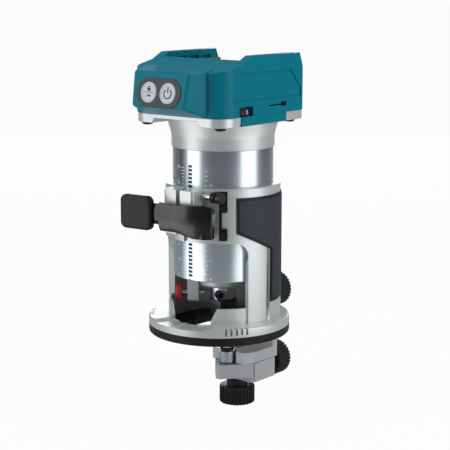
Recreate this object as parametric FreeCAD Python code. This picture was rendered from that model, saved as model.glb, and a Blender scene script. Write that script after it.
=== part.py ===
import FreeCAD, Part
import math
import os
from FreeCAD import Vector

# A compact battery trim router. The frame's origin is the centre of the base's flat
# underside on the spindle axis. +Z is up, -Y is the side with the locking lever and the
# buttons, +X is the user's right. Azimuths turn about Z from the front (-Y) towards +X.

# ---- clearances -------------------------------------------------------------------
RUN = 0.05            # radial play of every running or sliding fit
SEAT = 0.02           # radial play of pieces pressed together
APART = 0.3           # gap between faces that must never touch

# ---- motor tube and the collar that grips it --------------------------------------
TUBE_R = 32.5
TUBE_WALL = 3.0
TUBE_BOTTOM = 37.2
TUBE_FLOOR = 4.0
TUBE_TOP = 121.5
NECK_STEP = 1.1
NECK_H = 7.0
COLLAR_WALL = 4.8
COLLAR_BOTTOM = 63.5
COLLAR_TOP = 98.0
COLUMN_PLAY = 0.5
WINDOW_AZ = 65.0
WINDOW_CORNER = 9.0
SPLIT_GAP = 3.2

# ---- round base -------------------------------------------------------------------
BASE_RIM = 8.9
BASE_SHIFT = 4.0
SUB_BASE_T = 5.5
BASE_T = 5.5
BASE_HOLE_STEP = 0.3
CUTTER_HOLE_R = 17.0
FRONT_SECTOR_AZ = 26.0
FRONT_SECTOR_DROP = 1.2
FIN_AZ = 27.0
FIN_TOP = 21.0
FIN_T = 2.0
SUB_SCREW_OUT = 1.2
SUB_SCREW_R = 2.0
NOZZLE_HOLE_R = 1.65
NOZZLE_HOLE_Z = 19.8
CHIP_WINDOW_AZ = 26.0
CHIP_WINDOW_Z = (29.0, 54.0)
CHIP_COVER_T = 2.4

# ---- grips ------------------------------------------------------------------------
GRIP_AZ = (52.0, 138.0)
GRIP_TAIL_AZ = 92.5
GRIP_Z = (57.1, 93.0)
GRIP_FRONT_LOW = 69.6
GRIP_TAIL_Z = 22.5
GRIP_T = 1.0

# ---- clamp: ears, bolt, lever -----------------------------------------------------
EAR_X = 12.0
EAR_REACH = 7.2
EAR_Z = (69.0, 97.5)
BOLT_R = 2.5
BOLT_OUT = 2.9
BOLT_Z = 80.0
BARREL_X = 19.0
BARREL_R = 3.6
EYE_R = 5.6
CAM_RISE = 0.9
LEVER_OUT = 10.7
LEVER_T = 2.4
LEVER_Z = (68.2, 89.8)
LEVER_EYE_TOP = 87.0
LEVER_AZ = (-4.0, 32.2)
LEVER_FLARE = 6.0
LEVER_BODY_L = 8.0
LEVER_NECK_L = 3.6
LEVER_PAD_L = 24.2
LEVER_PAD_T = 5.0
LEVER_PAD_Z = (70.8, 92.7)
LEVER_NECK_Z = (75.0, 88.5)

# ---- depth rack and pinion --------------------------------------------------------
MODULE = 0.8
PINION_TEETH = 9
ADDENDUM = 0.72
DEDENDUM = 1.0
RACK_W = 3.3
RACK_Z = (38.6, 112.0)
RACK_FACE = 0.2
PINION_Z = 93.6
PINION_SHAFT_R = 2.0
DEPTH_KNOB_R = 3.4
DEPTH_KNOB_L = 4.8
BRACKET_AZ = (36.0, 43.5)
BRACKET_Z = (66.0, 97.0)
BRACKET_T = 2.2

# ---- spindle, bearings and collet -------------------------------------------------
SPINDLE_R = 8.5
SPINDLE_HOLE_R = 3.25
SPINDLE_HOLE_Z = 23.8
SPINDLE_HOLE_AZ = 21.6
SPINDLE_TOP = 130.0
SHANK_R = 3.0
COLLET_R = 5.0
NUT_FLATS = 17.0
NUT_Z = (11.0, 20.2)
THREAD_R = 7.0
NOSE_R = 15.2
NOSE_BOTTOM = 29.5
LOWER_BEARING = (7.5, 16.0, 9.0)
UPPER_BEARING = (4.0, 11.0, 7.0)
LOWER_BEARING_Z = 42.0
UPPER_BEARING_Z = 108.0
BRIDGE_T = 3.4
STATOR_Z = (58.0, 92.0)
STATOR_BORE = 16.5
ROTOR_SHAFT_R = 5.0
WINDING_H = 6.0
FAN_Z = 118.0
FAN_R = 27.0
FAN_H = 8.0
FAN_BLADES = 11

# ---- shaft lock -------------------------------------------------------------------
LOCK_AZ = -56.0
LOCK_W = 7.0
LOCK_Z = (18.4, 28.6)
LOCK_FACE_STEP = 1.5
LOCK_T = 4.2
LOCK_TRAVEL = 3.5
LOCK_PIN_R = 2.4

# ---- flange and battery housing ---------------------------------------------------
BODY_HALF_W = 38.0
BODY_FRONT = 47.0
BODY_REAR = 37.0
FRONT_CORNER = 12.0
REAR_CORNER = 4.0
FLANGE_Z = (141.5, 144.3)
TAB_BOTTOM = 138.3
TAB_L = 15.5
SHOULDER_OUT = 0.8
SHOULDER_Z = 129.0
SHOULDER_TOP_OUT = 4.1
HOUSING_SCREW_R = 2.0
HOUSING_SCREW_IN = 8.0
HOUSING_SCREW_Y = (-39.0, 31.0)
HOUSING_WALL = 2.5
DECK_Z = (159.5, 162.5)
WALL_TOP = 181.0
BAY_WALL = 6.5
BAY_FRONT = -22.0
RAIL_Z = (167.5, 172.5)
RAIL_DEPTH = 3.0
APRON_Y = (-28.0, 17.5)
APRON_T = 2.0
BOARD_Z = 156.0
BOARD_T = 1.6

# ---- button panel -----------------------------------------------------------------
PANEL_HALF_W = 22.0
PANEL_LOW = (63.0, 150.5)
PANEL_HIGH = (59.0, 172.0)
PANEL_WALL = 2.4
PAD_W = 36.0
PAD_H = 17.6
PAD_T = 1.4
PAD_PROUD = 0.6
PAD_Z = 159.3
BUTTON_X = 7.7
BUTTON_R = 6.4
BUTTON_PROUD = 1.2
BUTTON_TRAVEL = 0.8
BUTTON_PLAY = 0.08

# ---- speed dial -------------------------------------------------------------------
DIAL_R = 8.2
DIAL_T = 5.0
DIAL_Y = -23.5
DIAL_PROUD = 0.5
DIAL_WINDOW_W = 13.4

# ---- trimmer guide ----------------------------------------------------------------
KNOB_R = 11.9
KNOB_L = 12.4
KNOB_HUB_R = 7.0
KNOB_HUB_L = 2.2
LOW_HUB_L = 4.4
KNOB_RIBS = 30
KNOB_RIB_DEPTH = 0.5
STUD_R = 3.0
PLATE_HALF_W = 13.0
PLATE_T = 3.5
PLATE_TOP = 27.5
HOLDER_STUD_Z = 16.5
HOLDER_HALF_W = 17.0
HOLDER_Z = (-24.6, -17.0)
HOLDER_FRONT = 11.0
HOLDER_INSET = 5.2
HOLDER_WALL = 4.5
SHELF_T = 4.5
LUG_HALF_W = 8.0
LUG_T = 4.5
SLIDE_Z = (-38.0, -24.9)
SLIDE_NOSE_Z = -34.5
SLIDE_INSET = 7.7
SLIDE_TRAVEL = (-1.0, 8.0)
NOSE_TIP = (1.9, 5.6)
FEED_Z = -32.5
STUD_Y = 15.0
ROLLER_Y = 4.2
ROLLER_R = 5.3
ROLLER_Z = (-24.4, -16.6)
ROLLER_PIN_R = 2.2

# ---- sizes that follow from the ones above ----------------------------------------
COLLAR_IN = TUBE_R + RUN
COLLAR_OUT = TUBE_R + COLLAR_WALL
COLUMN_IN = TUBE_R + COLUMN_PLAY
NECK_R = TUBE_R - NECK_STEP
BASE_R = COLLAR_OUT + BASE_RIM
BASE_HOLE_R = TUBE_R - BASE_HOLE_STEP
SUB_SCREW_PCR = COLLAR_OUT + SUB_SCREW_OUT
EAR_Y = COLLAR_OUT + EAR_REACH
BOLT_Y = COLLAR_OUT + BOLT_OUT
LEVER_R_IN = COLLAR_OUT + LEVER_OUT
LOCK_FACE_R = TUBE_R - LOCK_FACE_STEP
SHOULDER_R = TUBE_R + SHOULDER_OUT
SHOULDER_TOP_R = TUBE_R + SHOULDER_TOP_OUT
HOUSING_SCREW_X = BODY_HALF_W - HOUSING_SCREW_IN
BAY_HALF_W = BODY_HALF_W - BAY_WALL
BASE_TOP = SUB_BASE_T + BASE_T
PITCH_R = MODULE * PINION_TEETH / 2
RACK_Y = -(TUBE_R - RACK_FACE - ADDENDUM)
PINION_Y = RACK_Y - PITCH_R
TUBE_IN = TUBE_R - TUBE_WALL
DISC_REAR = BASE_R - BASE_SHIFT
HOLDER_REAR = DISC_REAR - HOLDER_INSET
SLIDE_REAR = DISC_REAR - SLIDE_INSET
PLATE_Y = DISC_REAR + 0.2
PLATE_REAR = PLATE_Y + PLATE_T
PANEL_TILT = math.atan((PANEL_LOW[0] - PANEL_HIGH[0]) / (PANEL_HIGH[1] - PANEL_LOW[1]))
DIAL_X = BODY_HALF_W + DIAL_PROUD - DIAL_R
DIAL_Z = FLANGE_Z[1] + 2 * APART

UP = Vector(0, 0, 1)
ALONG_X = Vector(1, 0, 0)
ALONG_Y = Vector(0, 1, 0)


# ---- small helpers ----------------------------------------------------------------
def rod(radius, low, high, x=0.0, y=0.0):
    """An upright cylinder between two heights."""
    return Part.makeCylinder(radius, high - low, Vector(x, y, low))


def ring(outer, inner, low, high, x=0.0, y=0.0):
    """An upright tube between two heights."""
    return rod(outer, low, high, x, y).cut(rod(inner, low - 1, high + 1, x, y))


def bar(radius, start, direction, length):
    """A cylinder from a point along any direction."""
    return Part.makeCylinder(radius, length, start, direction)


def block(x0, x1, y0, y1, z0, z1):
    """A box between two corners."""
    return Part.makeBox(x1 - x0, y1 - y0, z1 - z0, Vector(x0, y0, z0))


def at(azimuth, radius, z=0.0):
    """The point at an azimuth from the front, a radius and a height."""
    turn = math.radians(azimuth)
    return Vector(radius * math.sin(turn), -radius * math.cos(turn), z)


def sector(outer, inner, low, high, start, end):
    """A piece of an upright tube between two azimuths."""
    pie = Part.makeCylinder(outer, high - low, Vector(0, 0, low), UP, end - start)
    pie.rotate(Vector(0, 0, 0), UP, start - 90)
    return pie.cut(rod(inner, low - 1, high + 1))


def prism(points, low, high):
    """An upright prism over a closed outline in plan."""
    corners = [Vector(x, y, low) for x, y in points]
    return Part.Face(Part.makePolygon(corners + corners[:1])).extrude(Vector(0, 0, high - low))


def side_prism(points, half_width):
    """A prism along X over an outline of (y, z) points."""
    corners = [Vector(-half_width, y, z) for y, z in points]
    return Part.Face(Part.makePolygon(corners + corners[:1])).extrude(Vector(2 * half_width, 0, 0))


def join(shapes):
    """One solid from overlapping shapes, with its seams removed."""
    return shapes[0].multiFuse(shapes[1:]).removeSplitter()


def carve(shape, cutters):
    """A shape with every cutter taken away in turn."""
    for cutter in cutters:
        shape = shape.cut(cutter)
    return shape


def turned(shape, azimuth):
    """A shape built facing the front, turned to an azimuth."""
    copy = shape.copy()
    copy.rotate(Vector(0, 0, 0), UP, azimuth)
    return copy


def upright_fillet(shape, radius, keep):
    """Round the upright edges whose middle passes a test."""
    edges = []
    for edge in shape.Edges:
        low, high = edge.Vertexes[0].Point, edge.Vertexes[-1].Point
        upright = abs(low.x - high.x) < 1e-6 and abs(low.y - high.y) < 1e-6
        if upright and keep((low + high) * 0.5):
            edges.append(edge)
    return shape.makeFillet(radius, edges)


def hex_rod(flats, low, high):
    """An upright hexagonal bar with a flat facing the front."""
    corner = flats / math.sqrt(3)
    points = [(corner * math.cos(math.radians(60 * i)), corner * math.sin(math.radians(60 * i)))
              for i in range(6)]
    return prism(points, low, high)


def plan_body(inset, low, high):
    """The rounded rectangle of the motor head in plan, drawn in by an inset."""
    shape = block(-BODY_HALF_W + inset, BODY_HALF_W - inset, -BODY_FRONT + inset,
                  BODY_REAR - inset, low, high)
    shape = upright_fillet(shape, FRONT_CORNER - inset, lambda p: p.y < 0)
    return upright_fillet(shape, max(REAR_CORNER - inset, 1.0), lambda p: p.y > 0)


# ---- base -------------------------------------------------------------------------
def base_disc():
    """The metal plate with its lowered front sector."""
    disc = rod(BASE_R, SUB_BASE_T, BASE_TOP, 0, -BASE_SHIFT)
    disc = disc.makeChamfer(0.8, [e for e in disc.Edges if e.BoundBox.ZMin > BASE_TOP - 0.01])
    low_part = sector(BASE_R * 1.5, BASE_HOLE_R + FIN_T + 2, BASE_TOP - FRONT_SECTOR_DROP,
                      BASE_TOP + 1, -FRONT_SECTOR_AZ, FRONT_SECTOR_AZ)
    disc = disc.cut(low_part)
    mark = block(-0.5, 0.5, -BASE_R - BASE_SHIFT + 1, -BASE_HOLE_R - FIN_T - 1,
                 SUB_BASE_T + 1, BASE_TOP - 0.4)
    disc = disc.fuse(mark)
    return disc.cut(rod(BASE_HOLE_R, 0, BASE_TOP + 1))


def base_window():
    """The front opening between the columns, with round upper corners."""
    corner_az = math.degrees(WINDOW_CORNER / COLLAR_OUT)
    inner, outer = COLUMN_IN - 3, COLLAR_OUT + 20
    tall = sector(outer, inner, BASE_TOP, COLLAR_BOTTOM, -WINDOW_AZ + corner_az, WINDOW_AZ - corner_az)
    wide = sector(outer, inner, BASE_TOP, COLLAR_BOTTOM - WINDOW_CORNER, -WINDOW_AZ, WINDOW_AZ)
    parts = [tall, wide]
    for side in (-1, 1):
        azimuth = side * (WINDOW_AZ - corner_az)
        start = at(azimuth, inner, COLLAR_BOTTOM - WINDOW_CORNER)
        parts.append(bar(WINDOW_CORNER, start, at(azimuth, 1), outer - inner))
    return parts


def base_fins():
    """The two low guards that curve in from the columns."""
    fins = []
    outer = BASE_HOLE_R + FIN_T + 1.6
    for side in (-1, 1):
        for low, high, start in ((SUB_BASE_T + 1, FIN_TOP - 7, FIN_AZ), (FIN_TOP - 7, FIN_TOP, FIN_AZ + 6)):
            ends = sorted((side * start, side * (WINDOW_AZ + 1)))
            fins.append(sector(outer, outer - FIN_T, low, high, ends[0], ends[1]))
    return fins


def ears():
    """The two clamp ears beside the split."""
    pair = block(-EAR_X, EAR_X, -EAR_Y, -COLLAR_IN + 1.5, EAR_Z[0], EAR_Z[1])
    return upright_fillet(pair, 3.0, lambda p: p.y < -EAR_Y + 1)


def rear_boss():
    """The block behind the column that takes the guide's clamp screw."""
    return block(-10, 10, COLUMN_IN + 1.5, PLATE_Y, SUB_BASE_T + 1, HOLDER_STUD_Z + 7.5)


def base_casting():
    """The whole casting, which base_parts cuts into three nodes."""
    wall = ring(COLLAR_OUT, COLUMN_IN, SUB_BASE_T + 1, COLLAR_BOTTOM + 1)
    collar = ring(COLLAR_OUT, COLLAR_IN, COLLAR_BOTTOM, COLLAR_TOP)
    body = carve(join([collar, wall]), base_window())
    body = body.cut(sector(COLLAR_OUT + 1, COLUMN_IN - 1, CHIP_WINDOW_Z[0], CHIP_WINDOW_Z[1],
                           180 - CHIP_WINDOW_AZ, 180 + CHIP_WINDOW_AZ))
    body = join([body, base_disc(), ears(), rear_boss()] + base_fins())
    body = body.cut(rod(BASE_HOLE_R, 0, BASE_TOP + 1)).cut(rod(COLLAR_IN, COLLAR_BOTTOM, COLLAR_TOP + 1))
    body = body.cut(block(-SPLIT_GAP / 2, SPLIT_GAP / 2, -EAR_Y - 5, -COLLAR_IN + 4,
                          COLLAR_BOTTOM - 1, COLLAR_TOP + 1))
    body = body.cut(bar(BOLT_R + RUN, Vector(-EAR_X - 1, -BOLT_Y, BOLT_Z), ALONG_X, 2 * EAR_X + 2))
    body = body.cut(bar(PINION_SHAFT_R + RUN, Vector(-EAR_X - 1, PINION_Y, PINION_Z), ALONG_X,
                        4 * EAR_X))
    body = body.cut(bar(STUD_R + RUN, Vector(0, COLLAR_OUT - 2, HOLDER_STUD_Z), ALONG_Y, 20))
    body = body.cut(bar(NOZZLE_HOLE_R, Vector(COLUMN_IN - 2, 0, NOZZLE_HOLE_Z), ALONG_X, 20))
    for x, y in sub_screw_places():
        body = body.cut(rod(SUB_SCREW_R - 0.4 + SEAT, SUB_BASE_T - 1, SUB_BASE_T + 4.5, x, y))
    for z in bracket_screw_heights():
        body = body.cut(bar(bracket_screw_r() + SEAT, at(bracket_screw_az(), COLLAR_OUT - 3, z),
                            at(bracket_screw_az(), 1), 10))
    return body


def base_parts():
    """The casting's foot, columns and collar, which meet face to face."""
    whole = base_casting()
    cuts = [0, BASE_TOP, COLLAR_BOTTOM, COLLAR_TOP + 1]
    return [whole.common(block(-BASE_R, BASE_R, -2 * BASE_R, 2 * BASE_R, low, high))
            for low, high in zip(cuts, cuts[1:])]


def sub_screw_places():
    """Plan places of the four screws that hold the plastic sub-base."""
    reach = SUB_SCREW_PCR / math.sqrt(2)
    return [(sx * reach, sy * reach - BASE_SHIFT) for sx in (-1, 1) for sy in (-1, 1)]


def sub_base():
    plate = rod(BASE_R, 0, SUB_BASE_T, 0, -BASE_SHIFT)
    plate = plate.makeChamfer(0.6, [e for e in plate.Edges if e.BoundBox.ZMax < 0.01])
    plate = plate.cut(rod(CUTTER_HOLE_R, -1, SUB_BASE_T + 1))
    for x, y in sub_screw_places():
        plate = plate.cut(rod(SUB_SCREW_R + RUN, -1, SUB_BASE_T + 1, x, y))
        plate = plate.cut(rod(2 * SUB_SCREW_R + 0.2, -1, SUB_BASE_T - 2.5, x, y))
    return plate


def sub_base_screws():
    screws = []
    for x, y in sub_screw_places():
        head = rod(2 * SUB_SCREW_R, SUB_BASE_T - 4.5, SUB_BASE_T - 2.5, x, y)
        slot = block(x - 2.6, x + 2.6, y - 0.4, y + 0.4, SUB_BASE_T - 5, SUB_BASE_T - 3.7)
        shank = rod(SUB_SCREW_R - 0.4, SUB_BASE_T - 2.6, SUB_BASE_T + 4, x, y)
        screws.append(join([head, shank]).cut(slot))
    return Part.makeCompound(screws)


def grip(side):
    """One rubber panel with its tail down the column."""
    lows = sorted((side * GRIP_AZ[0], side * GRIP_AZ[1]))
    tail = sorted((side * GRIP_TAIL_AZ, side * GRIP_AZ[1]))
    inner = COLLAR_OUT + SEAT
    outer = COLLAR_OUT + GRIP_T
    panel = sector(outer, inner, GRIP_Z[0], GRIP_Z[1], lows[0], lows[1])
    start = at(GRIP_AZ[0], outer).y
    end = at(GRIP_TAIL_AZ, outer).y
    below = [(-2 * outer, GRIP_Z[0] - 1), (end, GRIP_Z[0] - 1), (end, GRIP_Z[0]), (start, GRIP_FRONT_LOW),
             (-2 * outer, GRIP_FRONT_LOW)]
    panel = panel.cut(side_prism(below, 2 * outer))
    strip = sector(outer, inner, GRIP_TAIL_Z, GRIP_Z[0] + 1, tail[0], tail[1])
    return join([panel, strip])


def chip_cover():
    """The curved plastic plate that closes the rear window."""
    margin = math.degrees(2 * RUN / COLLAR_OUT)
    span = CHIP_WINDOW_AZ - margin
    plate = sector(COLLAR_OUT - 0.6, COLLAR_OUT - 0.6 - CHIP_COVER_T, CHIP_WINDOW_Z[0] + RUN,
                   CHIP_WINDOW_Z[1] - RUN, 180 - span, 180 + span)
    return plate


def clamp_bolt():
    """The bolt that draws the ears together, ending in the lever's barrel."""
    start = -EAR_X - 6.5
    end = BARREL_X + BARREL_R - 2
    shank = bar(BOLT_R, Vector(start, -BOLT_Y, BOLT_Z), ALONG_X, end - start)
    tip = Part.makeCone(BOLT_R, BOLT_R - 0.8, 0.8, Vector(end, -BOLT_Y, BOLT_Z), ALONG_X)
    return join([shank, tip])


def clamp_nut():
    nut = hex_rod(8.0, 0, 4.0)
    nut.rotate(Vector(0, 0, 0), ALONG_Y, 90)
    nut.translate(Vector(-EAR_X - 4.2, -BOLT_Y, BOLT_Z))
    washer = bar(5.0, Vector(-EAR_X - 0.2 - RUN, -BOLT_Y, BOLT_Z), ALONG_X, 0.2)
    return join([nut, washer]).cut(bar(BOLT_R + SEAT, Vector(-EAR_X - 10, -BOLT_Y, BOLT_Z), ALONG_X, 20))


def lever_barrel():
    """The upright pin that the lever turns on, drilled across for the bolt."""
    pin = rod(BARREL_R, LEVER_Z[0], LEVER_EYE_TOP + 0.6, BARREL_X, -BOLT_Y)
    return pin.cut(bar(BOLT_R + SEAT, Vector(0, -BOLT_Y, BOLT_Z), ALONG_X, 40))


# ---- locking lever ----------------------------------------------------------------
def lever_run(start, length, low, high, thickness):
    """A straight stretch of the lever, measured from where its arc ends."""
    origin = at(LEVER_AZ[0], LEVER_R_IN + LEVER_T / 2)
    piece = block(-start - length, -start, -thickness + LEVER_T / 2, LEVER_T / 2, low, high)
    piece.rotate(Vector(0, 0, 0), UP, LEVER_FLARE)
    piece.translate(origin)
    return piece


def locking_lever():
    plate = sector(LEVER_R_IN + LEVER_T, LEVER_R_IN, LEVER_Z[0], LEVER_Z[1], LEVER_AZ[0], LEVER_AZ[1])
    body = lever_run(-0.6, LEVER_BODY_L + 0.6, LEVER_Z[0] + 3, LEVER_Z[1], LEVER_T)
    neck = lever_run(LEVER_BODY_L - 0.5, LEVER_NECK_L + 1, LEVER_NECK_Z[0], LEVER_NECK_Z[1], LEVER_T)
    pad = lever_run(LEVER_BODY_L + LEVER_NECK_L, LEVER_PAD_L, LEVER_PAD_Z[0], LEVER_PAD_Z[1], LEVER_PAD_T)
    eyes = []
    for low, high in ((LEVER_Z[0], BOLT_Z - BOLT_R - 1.5), (BOLT_Z + BOLT_R + 1.5, LEVER_EYE_TOP)):
        round_eye = rod(EYE_R, low, high, BARREL_X, -BOLT_Y)
        cam = rod(EYE_R, low, high, BARREL_X - CAM_RISE, -BOLT_Y)
        web = block(BARREL_X - EYE_R, BARREL_X + 3.5, -LEVER_R_IN + 0.5, -BOLT_Y, low, high)
        web = web.common(rod(LEVER_R_IN + LEVER_T / 2, low, high))
        eyes += [round_eye, cam, web]
    lever = join([plate, body, neck, pad] + eyes)
    return lever.cut(rod(BARREL_R + RUN, LEVER_Z[0] - 1, LEVER_Z[1] + 1, BARREL_X, -BOLT_Y))


# ---- depth pinion -----------------------------------------------------------------
def tooth_outline():
    """Half-widths and radii of one slim pinion tooth, from root to tip."""
    half = math.pi * MODULE / 4
    return [(PITCH_R - DEDENDUM - 0.2, half * 1.15), (PITCH_R - 0.3, half * 0.88),
            (PITCH_R + ADDENDUM, half * 0.34)]


def pinion_gear():
    """The toothed wheel, centred on the split."""
    width = SPLIT_GAP - 2 * APART
    parts = [bar(PITCH_R - DEDENDUM, Vector(-width / 2, 0, 0), ALONG_X, width)]
    steps = tooth_outline()
    for i in range(PINION_TEETH):
        sides = [(r, w) for r, w in steps] + [(r, -w) for r, w in reversed(steps)]
        corners = [Vector(-width / 2, r, w) for r, w in sides]
        tooth = Part.Face(Part.makePolygon(corners + corners[:1])).extrude(Vector(width, 0, 0))
        tooth.rotate(Vector(0, 0, 0), ALONG_X, 360.0 * i / PINION_TEETH)
        parts.append(tooth)
    return join(parts)


def depth_pinion():
    gear = pinion_gear()
    gear.translate(Vector(0, PINION_Y, PINION_Z))
    length = EAR_X - 1 + depth_knob_x() + DEPTH_KNOB_L - 1
    shaft = bar(PINION_SHAFT_R, Vector(-EAR_X + 1, PINION_Y, PINION_Z), ALONG_X, length)
    return join([gear, shaft])


def depth_knob_x():
    """Where the knurled knob starts, just right of its bracket."""
    return bracket_boss_x()[1] + APART


def depth_knob():
    start = Vector(depth_knob_x(), PINION_Y, PINION_Z)
    knob = bar(DEPTH_KNOB_R, start, ALONG_X, DEPTH_KNOB_L)
    knob = knob.makeChamfer(0.4, [e for e in knob.Edges if e.BoundBox.XMin > start.x + DEPTH_KNOB_L - 0.01])
    for i in range(12):
        turn = math.radians(30 * i)
        groove = start + Vector(-1, DEPTH_KNOB_R * math.cos(turn), DEPTH_KNOB_R * math.sin(turn))
        knob = knob.cut(bar(0.4, groove, ALONG_X, DEPTH_KNOB_L + 2))
    return knob.cut(bar(PINION_SHAFT_R + SEAT, start - Vector(1, 0, 0), ALONG_X, DEPTH_KNOB_L))


def bracket_boss_x():
    """The span along X of the boss that carries the pinion's outer end."""
    start = at(BRACKET_AZ[0], COLLAR_OUT).x - 1.2
    return (start, start + 3.2)


def bracket_screw_az():
    return (BRACKET_AZ[0] + BRACKET_AZ[1]) / 2 + 0.6


def bracket_screw_heights():
    return (BRACKET_Z[0] + 3.6, BOLT_Z + 6.6)


def bracket_screw_r():
    return 1.3


def pinion_bracket():
    """The black bracket on the collar that carries the pinion's knob end."""
    inner, outer = COLLAR_OUT + APART, COLLAR_OUT + APART + BRACKET_T
    plate = sector(outer, COLLAR_OUT + SEAT, BRACKET_Z[0], BRACKET_Z[1], BRACKET_AZ[0], BRACKET_AZ[1])
    waist = sector(outer + 1, inner - 1, BRACKET_Z[0] + 7.5, BOLT_Z + 4, BRACKET_AZ[0] + 2.5, BRACKET_AZ[1] + 1)
    plate = plate.cut(waist)
    x0, x1 = bracket_boss_x()
    arm = block(x0, x1, PINION_Y, PINION_Y + 4.6, PINION_Z - DEPTH_KNOB_R, BRACKET_Z[1])
    arm = arm.cut(rod(COLLAR_OUT + SEAT, BRACKET_Z[0], COLLAR_TOP))
    boss = bar(DEPTH_KNOB_R, Vector(x0, PINION_Y, PINION_Z), ALONG_X, x1 - x0)
    bracket = join([plate, arm, boss])
    bracket = bracket.cut(bar(PINION_SHAFT_R + RUN, Vector(x0 - 1, PINION_Y, PINION_Z), ALONG_X, 8))
    for z in bracket_screw_heights():
        bracket = bracket.cut(bar(bracket_screw_r() + RUN, at(bracket_screw_az(), COLLAR_OUT - 1, z),
                                  at(bracket_screw_az(), 1), 8))
    return bracket


def bracket_screws():
    screws = []
    seat = COLLAR_OUT + APART + BRACKET_T
    for z in bracket_screw_heights():
        direction = at(bracket_screw_az(), 1)
        shank = bar(bracket_screw_r(), at(bracket_screw_az(), COLLAR_OUT - 2.5, z), direction, seat - COLLAR_OUT + 2.6)
        head = bar(2.4, at(bracket_screw_az(), seat, z), direction, 1.6)
        screws.append(join([shank, head]))
    return Part.makeCompound(screws)


# ---- motor head -------------------------------------------------------------------
def rack_cut():
    """Everything removed from the tube's front to leave a straight rack."""
    front = -(TUBE_R - RACK_FACE)
    tooth_pitch = math.pi * MODULE
    flat = block(-RACK_W / 2, RACK_W / 2, -TUBE_R - 1, front, RACK_Z[0], RACK_Z[1])
    gaps = [flat]
    half = tooth_pitch / 4
    slope = math.tan(math.radians(20))
    first = math.ceil((RACK_Z[0] - PINION_Z) / tooth_pitch)
    last = math.floor((RACK_Z[1] - PINION_Z) / tooth_pitch)
    for i in range(first, last + 1):
        middle = PINION_Z + i * tooth_pitch
        mouth = half + (ADDENDUM + 0.1) * slope + 0.14
        root = half - DEDENDUM * slope + 0.14
        points = [(front - 0.1, middle - mouth), (front - 0.1, middle + mouth),
                  (RACK_Y + DEDENDUM, middle + root), (RACK_Y + DEDENDUM, middle - root)]
        gaps.append(side_prism(points, RACK_W / 2))
    return gaps


def motor_tube():
    """The turned tube, with a neck that fits up into the flange casting."""
    body = rod(TUBE_R, TUBE_BOTTOM, TUBE_TOP)
    body = body.makeChamfer(0.8, [e for e in body.Edges if e.BoundBox.ZMax < TUBE_BOTTOM + 0.01])
    tube = join([body, rod(NECK_R, TUBE_TOP - 0.1, TUBE_TOP + NECK_H)])
    tube = tube.cut(rod(TUBE_IN, TUBE_BOTTOM + TUBE_FLOOR, TUBE_TOP + NECK_H + 1))
    seat = ring(LOWER_BEARING[1] + 3.5, LOWER_BEARING[1] + SEAT, TUBE_BOTTOM + 0.5,
                LOWER_BEARING_Z + LOWER_BEARING[2])
    tube = tube.cut(rod(LOWER_BEARING[1] + SEAT, 0, TUBE_BOTTOM + TUBE_FLOOR + 1)).fuse(seat)
    for spot in led_places():
        tube = tube.cut(rod(led_r() + SEAT, TUBE_BOTTOM - 1, TUBE_BOTTOM + TUBE_FLOOR + 1, spot.x, spot.y))
    return carve(tube.removeSplitter(), rack_cut())


def motor_flange():
    """The casting over the tube: a flared shoulder under the rectangular flange."""
    step = rod(SHOULDER_R, TUBE_TOP, SHOULDER_Z + 0.1)
    flare = Part.makeCone(SHOULDER_R, SHOULDER_TOP_R, FLANGE_Z[0] - SHOULDER_Z + 0.5, Vector(0, 0, SHOULDER_Z))
    flange = plan_body(0.5, FLANGE_Z[0], FLANGE_Z[1])
    tabs = plan_body(0.5, TAB_BOTTOM, FLANGE_Z[0] + 0.1).cut(
        block(-BODY_HALF_W + TAB_L, BODY_HALF_W - TAB_L, -100, 100, 0, 200)).cut(
        block(-100, 100, -BODY_FRONT + TAB_L, BODY_REAR - TAB_L, 0, 200))
    head = join([step, flare, flange, tabs])
    head = head.cut(rod(TUBE_IN, 0, FLANGE_Z[1] + 1)).cut(rod(NECK_R + SEAT, 0, TUBE_TOP + NECK_H))
    head = head.cut(apron(RUN))
    for x, y in housing_screw_places():
        head = head.cut(rod(HOUSING_SCREW_R + 2 * RUN, TAB_BOTTOM - 1, FLANGE_Z[1] + 1, x, y))
        head = head.cut(rod(1.8 * HOUSING_SCREW_R + 2 * RUN, TUBE_TOP, TAB_BOTTOM, x, y))
    return head


def housing_screw_places():
    return [(sx * HOUSING_SCREW_X, y) for sx in (-1, 1) for y in HOUSING_SCREW_Y]


def housing_screws():
    screws = []
    for x, y in housing_screw_places():
        head = rod(1.8 * HOUSING_SCREW_R, TAB_BOTTOM - 2.2, TAB_BOTTOM, x, y)
        shank = rod(HOUSING_SCREW_R, TAB_BOTTOM - 0.1, BOARD_Z - 2, x, y)
        slot = block(x - 2.2, x + 2.2, y - 0.45, y + 0.45, TAB_BOTTOM - 3, TAB_BOTTOM - 1.2)
        cross = block(x - 0.45, x + 0.45, y - 2.2, y + 2.2, TAB_BOTTOM - 3, TAB_BOTTOM - 1.2)
        screws.append(join([head, shank]).cut(slot).cut(cross))
    return Part.makeCompound(screws)


def led_r():
    return 2.6


def led_places():
    middle = (LOWER_BEARING[1] + 3.5 + TUBE_IN) / 2
    return [at(azimuth, middle) for azimuth in (-20, 20)]


def led_lenses():
    lenses = [rod(led_r(), TUBE_BOTTOM - 1.2, TUBE_BOTTOM + TUBE_FLOOR - 0.5, p.x, p.y) for p in led_places()]
    return Part.makeCompound(lenses)


# ---- battery housing --------------------------------------------------------------
def housing_outline():
    """The housing's side view as (y, z) points."""
    return [(-BODY_FRONT - 1, FLANGE_Z[1]), (BODY_REAR + 1, FLANGE_Z[1]), (BODY_REAR + 1, 165.0),
            (BODY_REAR - 6, WALL_TOP), (-16.5, WALL_TOP), (-25.5, WALL_TOP - 4.5),
            (-BODY_FRONT - 1, WALL_TOP - 9.8)]


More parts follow.
